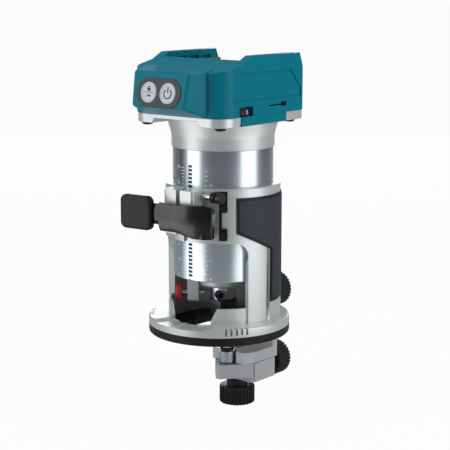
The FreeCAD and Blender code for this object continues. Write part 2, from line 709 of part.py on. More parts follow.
def panel_outline(inset):
    """The button block's side view as (y, z) points, drawn in by a wall."""
    low_y, low_z = PANEL_LOW
    high_y, high_z = PANEL_HIGH
    slope = math.tan(PANEL_TILT)
    return [(-BODY_FRONT + 8, low_z - 2.5 + inset), (-low_y + inset + inset * slope, low_z + inset),
            (-high_y + inset - inset * slope, high_z - inset), (-BODY_FRONT + 8, high_z + 2.5 - inset)]


def battery_housing():
    """The moulded top: hollow below the deck, an open battery bay above it."""
    outer = plan_body(0, FLANGE_Z[1], WALL_TOP + 5).common(side_prism(housing_outline(), BODY_HALF_W + 1))
    nose = side_prism(panel_outline(0), PANEL_HALF_W)
    shell = join([outer, nose])
    hollow = plan_body(HOUSING_WALL, FLANGE_Z[1] - 1, DECK_Z[0])
    nose_hollow = side_prism(panel_outline(PANEL_WALL), PANEL_HALF_W - PANEL_WALL)
    shell = shell.cut(hollow).cut(nose_hollow).cut(front_hollow())
    bay = block(-BAY_HALF_W, BAY_HALF_W, BAY_FRONT, BODY_REAR + 5, DECK_Z[1], WALL_TOP + 10)
    rails = block(-BAY_HALF_W - RAIL_DEPTH, BAY_HALF_W + RAIL_DEPTH, BAY_FRONT + 3, BODY_REAR + 5,
                  RAIL_Z[0], RAIL_Z[1])
    shell = shell.cut(bay).cut(rails)
    bosses = [rod(4.6, FLANGE_Z[1], BOARD_Z - RUN, x, y) for x, y in housing_screw_places()]
    shell = join([shell] + bosses)
    for x, y in housing_screw_places():
        shell = shell.cut(rod(HOUSING_SCREW_R + SEAT, FLANGE_Z[1] - 1, BOARD_Z - 1, x, y))
    shell = shell.cut(dial_window()).cut(vent_slot()).cut(panel_holes())
    return join([shell, apron(0)])


def apron(grow):
    """The skirt of the right wall that hangs down beside the flange."""
    return block(BODY_HALF_W - APRON_T - grow, BODY_HALF_W + grow, APRON_Y[0] - grow, APRON_Y[1] + grow,
                 TAB_BOTTOM - grow, FLANGE_Z[1] + 0.01 + grow)


def front_hollow():
    """The space above the deck in front of the battery bay."""
    back = BAY_FRONT - HOUSING_WALL
    outline = [(-BODY_FRONT - 1, DECK_Z[0] - 0.1), (back, DECK_Z[0] - 0.1), (back, WALL_TOP - 6.8),
               (-BODY_FRONT - 1, WALL_TOP - 12.8)]
    room = plan_body(HOUSING_WALL, DECK_Z[0] - 0.1, WALL_TOP)
    return room.common(side_prism(outline, BODY_HALF_W))


def dial_window():
    half = DIAL_WINDOW_W / 2
    return block(DIAL_X, BODY_HALF_W + 1, DIAL_Y - half, DIAL_Y + half, FLANGE_Z[1] - 0.1,
                 DIAL_Z + DIAL_T + APART)


def vent_slot():
    """One long slot for cooling air in each side wall."""
    half = BODY_HALF_W + 1
    return block(-half, half, -4, 14, FLANGE_Z[1] + 3.7, FLANGE_Z[1] + 5.5).cut(
        block(-half + HOUSING_WALL + 2, half - HOUSING_WALL - 2, -5, 15, 0, 200))


# ---- button panel -----------------------------------------------------------------
def on_panel(shape):
    """Move a shape built about the pad's centre, facing -Y, onto the leaning panel."""
    copy = shape.copy()
    copy.rotate(Vector(0, 0, 0), ALONG_X, -math.degrees(PANEL_TILT))
    y = -PANEL_LOW[0] + (PAD_Z - PANEL_LOW[1]) * math.tan(PANEL_TILT)
    copy.translate(Vector(0, y, PAD_Z))
    return copy


def stadium(width, height, near, far):
    """A flat oval with round ends, between two depths along Y."""
    r = height / 2
    reach = width / 2 - r
    middle = block(-reach, reach, near, far, -r, r)
    ends = [bar(r, Vector(x, near, 0), ALONG_Y, far - near) for x in (-reach, reach)]
    return join([middle] + ends)


def panel_holes():
    pocket = stadium(PAD_W + 4 * RUN, PAD_H + 4 * RUN, -5, PAD_T - PAD_PROUD)
    bores = [bar(BUTTON_R + APART, Vector(x, -5, 0), ALONG_Y, 5 + PANEL_WALL + 1)
             for x in (-BUTTON_X, BUTTON_X)]
    rooms = [bar(flange_r() + APART, Vector(x, PANEL_WALL, 0), ALONG_Y,
                 button_back() + BUTTON_TRAVEL + APART - PANEL_WALL) for x in (-BUTTON_X, BUTTON_X)]
    return on_panel(join([pocket] + bores + rooms))


def control_panel():
    pad = stadium(PAD_W, PAD_H, -PAD_PROUD, PAD_T - PAD_PROUD - RUN)
    for x in (-BUTTON_X, BUTTON_X):
        pad = pad.cut(bar(BUTTON_R + BUTTON_PLAY, Vector(x, -10, 0), ALONG_Y, 20))
    return on_panel(pad)


def flange_r():
    """Radius of the rim that keeps a button in the panel."""
    return BUTTON_R + 0.6


def button_back():
    """Depth of a button's rear face behind the panel."""
    return PANEL_WALL + BUTTON_TRAVEL + APART + 1.2


def push_button(x):
    """A round cap with a flange that stops it behind the panel wall."""
    cap = bar(BUTTON_R, Vector(x, -BUTTON_PROUD, 0), ALONG_Y, button_back() + BUTTON_PROUD)
    flange = bar(flange_r(), Vector(x, PANEL_WALL + APART, 0), ALONG_Y,
                 button_back() - PANEL_WALL - APART)
    stem = bar(1.6, Vector(x, button_back() - 0.1, 0), ALONG_Y, 1.1)
    return on_panel(join([cap, flange, stem]))


def switch_board():
    """A small board behind the panel with one key switch per button."""
    gap = BUTTON_TRAVEL + APART
    top = button_back() + 1.0 + gap
    board = block(-PANEL_HALF_W + PANEL_WALL + RUN, PANEL_HALF_W - PANEL_WALL - RUN, top + 2.0, top + 3.4, -5, 7)
    keys = [bar(2.2, Vector(x, top, 0), ALONG_Y, 2.1) for x in (-BUTTON_X, BUTTON_X)]
    return on_panel(join([board] + keys))


# ---- speed dial -------------------------------------------------------------------
def speed_dial():
    wheel = rod(DIAL_R, DIAL_Z, DIAL_Z + DIAL_T, DIAL_X, DIAL_Y)
    for i in range(24):
        turn = math.radians(15 * i)
        x, y = DIAL_X + DIAL_R * math.cos(turn), DIAL_Y + DIAL_R * math.sin(turn)
        wheel = wheel.cut(rod(0.35, DIAL_Z + DIAL_T - 1.0, DIAL_Z + DIAL_T + 1, x, y))
    return wheel.cut(rod(3.0 + RUN, DIAL_Z - 1, DIAL_Z + DIAL_T + 1, DIAL_X, DIAL_Y))


def speed_pot():
    """The speed control under the board, with the dial on its shaft."""
    low = DIAL_Z + DIAL_T + APART
    wall = BODY_HALF_W - HOUSING_WALL - APART
    case = block(2 * DIAL_X - wall, wall, DIAL_Y - 6, DIAL_Y + 6, low, BOARD_Z)
    return join([case, rod(3.0, DIAL_Z + 0.2, low + 0.1, DIAL_X, DIAL_Y)])


# ---- electrics --------------------------------------------------------------------
def controller_board():
    inset = HOUSING_WALL + APART
    board = plan_body(inset, BOARD_Z, BOARD_Z + BOARD_T)
    return board.cut(rod(4, 0, 200, -12, 10))


def board_components():
    """Capacitors and a power module hanging under the board."""
    gap = RUN / 5
    cans = [rod(4.5, FLANGE_Z[1] + 1, BOARD_Z - gap, x, y) for x, y in ((-18, -30), (-6, -30), (6, -30))]
    module = block(-20, 8, 14, 26, FLANGE_Z[1] + 4, BOARD_Z - gap)
    return Part.makeCompound(cans + [module])


def terminal_block():
    """The moulded block at the front of the battery bay."""
    case = block(-15, 15, BAY_FRONT + RUN, BAY_FRONT + 12, DECK_Z[1] + RUN / 5, RAIL_Z[1])
    for x in terminal_places():
        case = case.cut(block(x - 0.45, x + 0.45, BAY_FRONT + 3, BAY_FRONT + 20, DECK_Z[1] + 2, RAIL_Z[1] - 1))
    return case


def terminal_places():
    return (-11, -3.5, 3.5, 11)


def battery_terminals():
    blades = [block(x - 0.4, x + 0.4, BAY_FRONT + 3.1, BAY_FRONT + 24, DECK_Z[1] + 2.3, RAIL_Z[1] - 1.3)
              for x in terminal_places()]
    return Part.makeCompound(blades)


# ---- motor inside -----------------------------------------------------------------
def stator_core():
    core = ring(TUBE_IN - SEAT, STATOR_BORE, STATOR_Z[0], STATOR_Z[1])
    for i in range(6):
        slot = block(-3.2, 3.2, -TUBE_IN + 5, -STATOR_BORE - 3, STATOR_Z[0] - 1, STATOR_Z[1] + 1)
        core = core.cut(turned(slot, 60 * i))
    return core


def stator_windings():
    inner, outer = STATOR_BORE + 2, TUBE_IN - 3
    low = ring(outer, inner, STATOR_Z[0] - WINDING_H, STATOR_Z[0])
    high = ring(outer, inner, STATOR_Z[1], STATOR_Z[1] + WINDING_H)
    return Part.makeCompound([low, high])


def bearing(sizes, low):
    """Inner ring, outer ring and balls of one ball bearing."""
    bore, outside, width = sizes
    track = (outside - bore) / 3.4
    inner = ring(bore + track, bore + SEAT, low, low + width)
    outer = ring(outside, outside - track, low, low + width)
    ball_r = (outside - bore - 2 * track) / 2 - RUN / 2
    pitch = (outside + bore) / 2
    count = int(2 * math.pi * pitch / (2.6 * ball_r))
    balls = [Part.makeSphere(ball_r, at(360.0 * i / count, pitch, low + width / 2)) for i in range(count)]
    return inner, outer, Part.makeCompound(balls)


def bearing_retainer():
    """The round nose under the tube that holds the lower bearing in."""
    nose = rod(NOSE_R, NOSE_BOTTOM, TUBE_BOTTOM)
    nose = nose.makeChamfer(1.2, [e for e in nose.Edges if e.BoundBox.ZMax < NOSE_BOTTOM + 0.01])
    flange = rod(LOWER_BEARING[1] + 3, TUBE_BOTTOM - 2.5, TUBE_BOTTOM)
    spigot = rod(LOWER_BEARING[1] - SEAT, TUBE_BOTTOM - 0.1, LOWER_BEARING_Z - SEAT)
    body = join([nose, flange, spigot])
    body = body.cut(rod(SPINDLE_R + APART, 0, LOWER_BEARING_Z))
    return body.cut(rod(LOWER_BEARING[1] - 2.8, LOWER_BEARING_Z - 2, LOWER_BEARING_Z + 1))


def bearing_bridge():
    """The disc across the tube that carries the upper bearing."""
    disc = ring(TUBE_IN - SEAT, UPPER_BEARING[1] - 2.2, UPPER_BEARING_Z - BRIDGE_T, UPPER_BEARING_Z - SEAT)
    for i in range(6):
        disc = disc.cut(rod(4.0, 0, 200, at(60 * i + 30, 21).x, at(60 * i + 30, 21).y))
    cup = ring(UPPER_BEARING[1] + 3, UPPER_BEARING[1] + SEAT, UPPER_BEARING_Z - 1,
               UPPER_BEARING_Z + UPPER_BEARING[2])
    return join([disc, cup])


def spindle():
    low, high = LOWER_BEARING_Z, UPPER_BEARING_Z
    lower_end = rod(THREAD_R, NUT_Z[0] + 1.5, NUT_Z[1] + 0.1)
    nose = rod(SPINDLE_R, NUT_Z[1] + RUN, low - SEAT)
    journal = rod(LOWER_BEARING[0], low - 0.1, low + LOWER_BEARING[2] + 1)
    shaft = rod(ROTOR_SHAFT_R, low + LOWER_BEARING[2], high - SEAT)
    tail = rod(UPPER_BEARING[0], high - 0.1, SPINDLE_TOP)
    body = join([lower_end, nose, journal, shaft, tail])
    hole = bar(SPINDLE_HOLE_R, at(SPINDLE_HOLE_AZ, 20, SPINDLE_HOLE_Z), at(SPINDLE_HOLE_AZ, -1), 40)
    body = body.cut(hole)
    return body.cut(rod(COLLET_R + RUN, 0, NUT_Z[1] + 20))


def collet_cone():
    """The split clamping sleeve that takes the cutter's shank."""
    body = join([rod(COLLET_R, NUT_Z[0] + 0.4, NUT_Z[1] + 19.5),
                 Part.makeCone(THREAD_R - 0.6, COLLET_R, 1.0, Vector(0, 0, NUT_Z[0] + 0.4))])
    hole = bar(SPINDLE_HOLE_R, at(SPINDLE_HOLE_AZ, 20, SPINDLE_HOLE_Z), at(SPINDLE_HOLE_AZ, -1), 40)
    body = body.cut(rod(SHANK_R, 0, 100)).cut(hole)
    for i in range(2):
        saw = block(-0.3, 0.3, -20, 20, 0, SPINDLE_HOLE_Z - SPINDLE_HOLE_R - 1)
        body = body.cut(turned(saw, SPINDLE_HOLE_AZ + 45 + 90 * i))
    return body


def collet_nut():
    nut = hex_rod(NUT_FLATS, NUT_Z[0], NUT_Z[1])
    round_off = Part.makeCone(NUT_FLATS / 2, NUT_FLATS / 2 + 3, 3, Vector(0, 0, NUT_Z[0])).fuse(
        rod(NUT_FLATS, NUT_Z[0] + 3, NUT_Z[1]))
    nut = nut.common(round_off)
    nut = nut.cut(rod(THREAD_R + RUN, NUT_Z[0] + 1.4, NUT_Z[1] + 1))
    return nut.cut(rod(THREAD_R - 0.5, 0, NUT_Z[1]))


def rotor_core():
    core = ring(STATOR_BORE - 0.4, ROTOR_SHAFT_R + SEAT, STATOR_Z[0], STATOR_Z[1])
    return core.cut(Part.makeCompound([rod(1.5, 0, 200, at(90 * i, 11).x, at(90 * i, 11).y) for i in range(4)]))


def cooling_fan():
    hub = ring(UPPER_BEARING[0] + 4, UPPER_BEARING[0] + SEAT, FAN_Z, FAN_Z + FAN_H)
    web = ring(FAN_R, UPPER_BEARING[0] + 3.5, FAN_Z, FAN_Z + 1.6)
    blades = []
    for i in range(FAN_BLADES):
        blade = block(-0.6, 0.6, -FAN_R + 0.5, -11, FAN_Z + 1.5, FAN_Z + FAN_H)
        blade.rotate(Vector(0, -11, 0), UP, 28)
        blades.append(turned(blade, 360.0 * i / FAN_BLADES))
    return join([hub, web] + blades)


# ---- shaft lock -------------------------------------------------------------------
def shaft_lock_holder():
    """The guide under the tube that the lock's pin slides in."""
    inner, outer = NOSE_R + APART, LOCK_FACE_R - LOCK_T - LOCK_TRAVEL - APART
    half = LOCK_W / 2 + 1.5
    body = block(-half, half, -outer, -inner, LOCK_Z[0] + 0.2, TUBE_BOTTOM - 2.6)
    stalk = block(-half, half, -outer, -LOWER_BEARING[1] - 3.4, TUBE_BOTTOM - 3, TUBE_BOTTOM)
    body = join([body, stalk])
    body = body.cut(bar(LOCK_PIN_R + RUN, Vector(0, -60, lock_axis_z()), ALONG_Y, 60))
    return turned(body, LOCK_AZ)


def lock_axis_z():
    return (LOCK_Z[0] + LOCK_Z[1]) / 2


def shaft_lock_button():
    """The red push piece with its pin pointing at the spindle."""
    cap = block(-LOCK_W / 2, LOCK_W / 2, -LOCK_FACE_R, -LOCK_FACE_R + LOCK_T, LOCK_Z[0], LOCK_Z[1])
    cap = cap.makeFillet(0.8, [e for e in cap.Edges if e.BoundBox.YMax < -LOCK_FACE_R + 0.01])
    tip = SPINDLE_R + LOCK_TRAVEL + APART
    pin = bar(LOCK_PIN_R, Vector(0, -LOCK_FACE_R + LOCK_T - 0.1, lock_axis_z()), ALONG_Y,
              LOCK_FACE_R - LOCK_T + 0.1 - tip)
    return turned(join([cap, pin]), LOCK_AZ)


# ---- trimmer guide ----------------------------------------------------------------
def knurled_knob(hub_length):
    """A ribbed hand knob along +Y, with its hub's front face at the origin."""
    hub = bar(KNOB_HUB_R, Vector(0, 0, 0), ALONG_Y, hub_length + 1)
    grip_part = bar(KNOB_R, Vector(0, hub_length, 0), ALONG_Y, KNOB_L)
    grip_part = grip_part.makeFillet(1.2, [e for e in grip_part.Edges if e.BoundBox.YLength < 0.01])
    grooves = []
    for i in range(KNOB_RIBS):
        turn = 2 * math.pi * i / KNOB_RIBS
        start = Vector(KNOB_R * math.cos(turn), hub_length - 1, KNOB_R * math.sin(turn))
        grooves.append(bar(KNOB_RIB_DEPTH, start, ALONG_Y, KNOB_L + 2))
    knob = join([hub, grip_part]).cut(Part.makeCompound(grooves))
    return knob.cut(bar(STUD_R + SEAT, Vector(0, -1, 0), ALONG_Y, 1 + hub_length + KNOB_L - 3))


def rear_knob(y, z):
    """A knob on a stud that points backwards."""
    knob = knurled_knob(KNOB_HUB_L)
    knob.translate(Vector(0, y, z))
    return knob


def slide_clamp_knob():
    """The knob under the sliding block, on a stud that points down."""
    knob = knurled_knob(LOW_HUB_L)
    knob.rotate(Vector(0, 0, 0), ALONG_X, -90)
    knob.translate(Vector(0, STUD_Y, SLIDE_Z[0] - RUN))
    return knob


def stud_in_knob():
    """How far a stud reaches past the front of its knob's ribs."""
    return KNOB_L - 3.2


def holder_knob_y():
    return PLATE_REAR + RUN


def holder_clamp_stud():
    start = COLLAR_OUT - 1
    return bar(STUD_R, Vector(0, start, HOLDER_STUD_Z), ALONG_Y,
               holder_knob_y() + KNOB_HUB_L + stud_in_knob() - start)


def nose_outline():
    """Half of the nose's plan, from its tip to where its chamfer ends."""
    return [(NOSE_TIP[0], -NOSE_TIP[1]), (HOLDER_HALF_W - 1.3, HOLDER_FRONT),
            (HOLDER_HALF_W, HOLDER_FRONT + 2)]


def mirrored(points):
    """A closed plan outline from its right half."""
    return points + [(-x, y) for x, y in reversed(points)]


def guide_holder():
    """The bracket that hangs behind the base and carries the sliding block."""
    low, high = HOLDER_Z
    w = HOLDER_HALF_W
    plate = block(-PLATE_HALF_W, PLATE_HALF_W, PLATE_Y, PLATE_REAR, -SHELF_T, PLATE_TOP)
    shelf = block(-w + 1, w - 1, HOLDER_REAR - HOLDER_WALL, PLATE_REAR, -SHELF_T, -APART)
    wall = block(-w, w, HOLDER_REAR - HOLDER_WALL, HOLDER_REAR, low, -APART)
    bed = prism(mirrored([(w - 4, 5.0), (w - 1.3, HOLDER_FRONT - 1), (w, HOLDER_FRONT + 2), (w, HOLDER_REAR)]),
                low, high)
    bed = bed.cut(rod(ROLLER_R + 1.7, low - 1, high + 1, 0, ROLLER_Y))
    bed = bed.cut(block(-ROLLER_R - 1.7, ROLLER_R + 1.7, -20, ROLLER_Y, low - 1, high + 1))
    lug = block(-LUG_HALF_W, LUG_HALF_W, lug_front(), lug_front() + LUG_T, SLIDE_Z[0] - 1, high)
    holder = join([plate, shelf, wall, bed, lug])
    holder = holder.cut(bar(STUD_R + RUN, Vector(0, PLATE_Y - 1, HOLDER_STUD_Z), ALONG_Y, PLATE_T + 2))
    holder = holder.cut(bar(STUD_R + RUN, Vector(0, lug_front() - 1, FEED_Z), ALONG_Y, LUG_T + 2))
    return holder.cut(rod(STUD_R + RUN, low - 1, high + 1, 0, STUD_Y))


def lug_front():
    """Front face of the lug that the feed screw turns in."""
    return max(SLIDE_REAR - SLIDE_TRAVEL[0] + APART, HOLDER_REAR - 0.5)


def guide_slide():
    """The block that carries the roller and is moved by the feed screw."""
    low, high = SLIDE_Z
    w = HOLDER_HALF_W
    body = block(-w, w, HOLDER_FRONT + 2, SLIDE_REAR, low, high)
    lip = block(-w + 1, w - 1, HOLDER_FRONT, HOLDER_FRONT + 3, low, high)
    nose = prism(mirrored(nose_outline()), SLIDE_NOSE_Z, high)
    slide = join([body, lip, nose])
    slot_ends = [STUD_Y + SLIDE_TRAVEL[0], STUD_Y + SLIDE_TRAVEL[1]]
    half = STUD_R + RUN
    slide = slide.cut(block(-half, half, slot_ends[0], slot_ends[1], low - 1, high + 1))
    for y in slot_ends:
        slide = slide.cut(rod(half, low - 1, high + 1, 0, y))
    slide = slide.cut(bar(half, Vector(0, slot_ends[1], FEED_Z), ALONG_Y, SLIDE_REAR))
    return slide.cut(rod(ROLLER_PIN_R + SEAT, SLIDE_NOSE_Z + 2, high + 1, 0, ROLLER_Y))


def guide_roller():
    low, high = ROLLER_Z
    roller = ring(ROLLER_R, ROLLER_PIN_R + RUN, low, high, 0, ROLLER_Y)
    return roller.makeChamfer(0.4, [e for e in roller.Edges if e.BoundBox.XLength > 2 * ROLLER_R - 0.01
                                    and e.BoundBox.ZLength < 0.01])


def roller_screw():
    low, high = ROLLER_Z
    shank = rod(ROLLER_PIN_R, SLIDE_NOSE_Z + 2.3, high + 0.3, 0, ROLLER_Y)
    collar = rod(ROLLER_PIN_R + 1.2, SLIDE_Z[1], low - APART / 2, 0, ROLLER_Y)
    head = rod(4.6, high + APART / 2, high + 2.6, 0, ROLLER_Y)
    head = head.makeChamfer(0.6, [e for e in head.Edges if e.BoundBox.ZMin > high + 2.59])
    slot = block(-3, 3, ROLLER_Y - 0.5, ROLLER_Y + 0.5, high + 1.6, high + 4)
    return join([shank, collar, head]).cut(slot)


def feed_knob_y():
    return PLATE_REAR + RUN


def guide_feed_screw():
    """The threaded rod that pushes the sliding block along."""
    start = STUD_Y + STUD_R + 2
    rod_part = bar(STUD_R, Vector(0, start, FEED_Z), ALONG_Y,
                   feed_knob_y() + KNOB_HUB_L + stud_in_knob() - start)
    stop = bar(STUD_R + 1.6, Vector(0, lug_front() + LUG_T + RUN, FEED_Z), ALONG_Y,
               feed_knob_y() - lug_front() - LUG_T - RUN)
    return join([rod_part, stop])


def slide_clamp_stud():
    high = HOLDER_Z[1] - 0.6
    low = SLIDE_Z[0] - RUN - LOW_HUB_L - stud_in_knob()
    return rod(STUD_R, low, high, 0, STUD_Y)


# ---- every node -------------------------------------------------------------------
def all_nodes():
    lower_inner, lower_outer, lower_balls = bearing(LOWER_BEARING, LOWER_BEARING_Z)
    upper_inner, upper_outer, upper_balls = bearing(UPPER_BEARING, UPPER_BEARING_Z)
    foot, columns, collar = base_parts()
    return {
        "base_foot": foot,
        "base_columns": columns,
        "base_collar": collar,
        "sub_base": sub_base(),
        "sub_base_screws": sub_base_screws(),
        "grip_right": grip(1),
        "grip_left": grip(-1),
        "chip_cover": chip_cover(),
        "clamp_bolt": clamp_bolt(),
        "clamp_nut": clamp_nut(),
        "lever_barrel": lever_barrel(),
        "locking_lever": locking_lever(),
        "pinion_bracket": pinion_bracket(),
        "bracket_screws": bracket_screws(),
        "depth_pinion": depth_pinion(),
        "depth_knob": depth_knob(),
        "motor_tube": motor_tube(),
        "motor_flange": motor_flange(),
        "housing_screws": housing_screws(),
        "led_lenses": led_lenses(),
        "battery_housing": battery_housing(),
        "control_panel": control_panel(),
        "power_button": push_button(BUTTON_X),
        "light_button": push_button(-BUTTON_X),
        "switch_board": switch_board(),
        "speed_dial": speed_dial(),
        "speed_pot": speed_pot(),
        "controller_board": controller_board(),
        "board_components": board_components(),
        "terminal_block": terminal_block(),
        "battery_terminals": battery_terminals(),
        "stator_core": stator_core(),
        "stator_windings": stator_windings(),
        "lower_bearing_outer": lower_outer,
        "lower_bearing_inner": lower_inner,
        "lower_bearing_balls": lower_balls,
        "upper_bearing_outer": upper_outer,
        "upper_bearing_inner": upper_inner,
        "upper_bearing_balls": upper_balls,
        "bearing_retainer": bearing_retainer(),
        "bearing_bridge": bearing_bridge(),
        "spindle": spindle(),
        "collet_cone": collet_cone(),
        "collet_nut": collet_nut(),
        "rotor_core": rotor_core(),
        "cooling_fan": cooling_fan(),
        "shaft_lock_holder": shaft_lock_holder(),
        "shaft_lock_button": shaft_lock_button(),
        "guide_holder": guide_holder(),
        "holder_clamp_knob": rear_knob(holder_knob_y(), HOLDER_STUD_Z),
        "holder_clamp_stud": holder_clamp_stud(),
        "guide_slide": guide_slide(),
        "guide_roller": guide_roller(),
        "roller_screw": roller_screw(),
        "guide_feed_screw": guide_feed_screw(),
        "guide_feed_knob": rear_knob(feed_knob_y(), FEED_Z),
        "slide_clamp_knob": slide_clamp_knob(),
        "slide_clamp_stud": slide_clamp_stud(),
    }


def main():
    os.makedirs("parts", exist_ok=True)
    for name, shape in all_nodes().items():
        solids = shape.Solids
        if not solids or not shape.isValid():
            raise ValueError("bad shape: " + name)
        shape.exportStep("parts/" + name + ".step")
        box = shape.BoundBox
        print(f"{name}: {len(solids)} solids, x {box.XMin:.1f}..{box.XMax:.1f}, "
              f"y {box.YMin:.1f}..{box.YMax:.1f}, z {box.ZMin:.1f}..{box.ZMax:.1f}")


main()
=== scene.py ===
# %% [markdown]
# # A battery trim router
# The tool has a moulded battery housing on a bright motor tube. The tube slides in a cast base
# and is locked by a cam lever. A roller guide hangs behind and below the base.
# The CAD frame gives every body, so this lesson only builds the visible skins over it.

# %% Load the frame
import math
import bmesh
import bpy
from mathutils import Matrix, Vector


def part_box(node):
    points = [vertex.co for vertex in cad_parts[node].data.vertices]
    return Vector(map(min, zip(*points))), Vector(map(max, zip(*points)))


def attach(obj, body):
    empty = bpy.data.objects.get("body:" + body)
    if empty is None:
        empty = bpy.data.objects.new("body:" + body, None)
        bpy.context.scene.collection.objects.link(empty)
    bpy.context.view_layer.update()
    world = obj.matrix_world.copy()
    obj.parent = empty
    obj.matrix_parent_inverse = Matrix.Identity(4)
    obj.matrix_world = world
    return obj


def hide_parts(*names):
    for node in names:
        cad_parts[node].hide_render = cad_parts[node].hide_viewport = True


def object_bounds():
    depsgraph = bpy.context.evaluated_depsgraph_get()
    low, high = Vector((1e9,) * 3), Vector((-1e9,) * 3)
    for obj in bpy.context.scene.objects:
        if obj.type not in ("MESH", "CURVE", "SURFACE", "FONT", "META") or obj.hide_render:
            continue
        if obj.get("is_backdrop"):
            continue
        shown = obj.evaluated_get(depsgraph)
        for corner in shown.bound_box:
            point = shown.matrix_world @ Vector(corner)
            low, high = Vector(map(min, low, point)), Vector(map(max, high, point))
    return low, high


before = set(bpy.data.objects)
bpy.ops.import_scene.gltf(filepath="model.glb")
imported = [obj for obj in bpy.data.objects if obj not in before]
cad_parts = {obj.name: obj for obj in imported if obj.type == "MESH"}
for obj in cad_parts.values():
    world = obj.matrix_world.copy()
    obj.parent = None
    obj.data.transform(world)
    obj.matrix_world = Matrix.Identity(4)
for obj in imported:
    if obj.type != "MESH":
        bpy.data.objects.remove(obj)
cad_low, cad_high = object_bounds()

# %% [markdown]
# ## Shader sums
# Surface patterns are sums and products of noise. Writing them as Python sums keeps them short,
# so one small class wraps a socket and turns each operator into a Math node.


# %% A value that can be written in sums
class Value:
    """One output of a node, with the usual operators."""

    def __init__(self, tree, out):
        self.tree, self.out = tree, out

    def sum(self, operation, first, second):
        node = self.tree.nodes.new("ShaderNodeMath")
        node.operation = operation
        for slot, item in zip(node.inputs, (first, second)):
            if isinstance(item, Value):
                self.tree.links.new(item.out, slot)
            else:
                slot.default_value = item
        return Value(self.tree, node.outputs[0])

    def __add__(self, other):
        return self.sum("ADD", self, other)

    def __radd__(self, other):
        return self.sum("ADD", other, self)

    def __sub__(self, other):
        return self.sum("SUBTRACT", self, other)

    def __rsub__(self, other):
        return self.sum("SUBTRACT", other, self)

    def __mul__(self, other):
        return self.sum("MULTIPLY", self, other)

    def __rmul__(self, other):
        return self.sum("MULTIPLY", other, self)

    def least(self, other):
        return self.sum("MINIMUM", self, other)

    def most(self, other):
        return self.sum("MAXIMUM", self, other)


# %% [markdown]
# ## One way to make a finish
# Each finish is a Principled shader. Numbers that are the same all over are set on the shader
# itself. What varies over the surface is worked out from Object coordinates, in millimetres here.


# %% A finish and its nodes
def tint(red, green, blue):
    """A colour from everyday 0 to 255 numbers."""
    return tuple(((c / 255) / 12.92 if c < 11 else ((c / 255 + 0.055) / 1.055) ** 2.4)
                 for c in (red, green, blue)) + (1.0,)


class Finish:
    def __init__(self, name, colour, rough, metal=0.0, coat=0.0, specular=0.5):
        self.material = bpy.data.materials.new(name)
        self.material.use_nodes = True
        self.tree = self.material.node_tree
        self.shader = self.tree.nodes["Principled BSDF"]
        constants = {"Base Color": colour, "Roughness": rough, "Metallic": metal,
                     "Coat Weight": coat, "Coat Roughness": 0.08, "Specular IOR Level": specular}
        for socket, value in constants.items():
            self.shader.inputs[socket].default_value = value
        metres = self.node("ShaderNodeTexCoord", out="Object")
        self.place = self.node("ShaderNodeMapping", Vector=metres, Scale=(1000, 1000, 1000))

    def node(self, kind, settings=None, out=0, **values):
        """Any node: its settings first, then values or links for its sockets."""
        node = self.tree.nodes.new(kind)
        for key, value in (settings or {}).items():
            setattr(node, key, value)
        for key, value in values.items():
            slot = node.inputs[int(key[1:])] if key[0] == "i" and key[1:].isdigit() else node.inputs[key]
            if isinstance(value, Value):
                self.tree.links.new(value.out, slot)
            else:
                slot.default_value = value
        return Value(self.tree, node.outputs[out])

    def noise(self, per_mm, detail=2.0, stretch=(1, 1, 1), seed=0.0):
        """Noise with a number of features in each millimetre."""
        spot = self.node("ShaderNodeMapping", Vector=self.place, Scale=stretch, Location=(seed, seed, seed))
        return self.node("ShaderNodeTexNoise", Vector=spot, Scale=per_mm, Detail=detail)

    def axis(self, name):
        """One coordinate of the surface, in millimetres."""
        return self.node("ShaderNodeSeparateXYZ", out=name, Vector=self.place)

    def mix(self, factor, first, second):
        return self.node("ShaderNodeMix", {"data_type": "RGBA"}, out=2, i0=factor, i6=first, i7=second)

    def feed(self, socket, value):
        self.tree.links.new(value.out, self.shader.inputs[socket])

    def bump(self, height, depth_mm):
        self.feed("Normal", self.node("ShaderNodeBump", Height=height, Distance=depth_mm / 1000,
                                      Strength=1.0))


print("a tint in linear light:", [round(c, 3) for c in tint(0, 112, 131)[:3]])

# %% [markdown]
# ## Moulded plastics
# The housing is glass-filled nylon. It has a fine spark-eroded grain and a soft sheen.
# Noise at two sizes gives the grain, and a slow noise keeps large faces from looking flat.


# %% Plastics and rubber
def moulded(name, colour, rough, grain=0.02, per_mm=2.2, coat=0.0, specular=0.5):
    finish = Finish(name, colour, rough, coat=coat, specular=specular)
    fine = finish.noise(per_mm, 3.0)
    slow = finish.noise(0.03, 2.0, seed=5.0)
    lighter = tuple(min(1.0, c * 1.16 + 0.004) for c in colour[:3]) + (1.0,)
    finish.feed("Base Color", finish.mix(slow * 0.55 + fine * 0.18, colour, lighter))
    finish.feed("Roughness", rough - 0.05 + fine * 0.06 + slow * 0.05)
    finish.bump(fine, grain)
    return finish.material


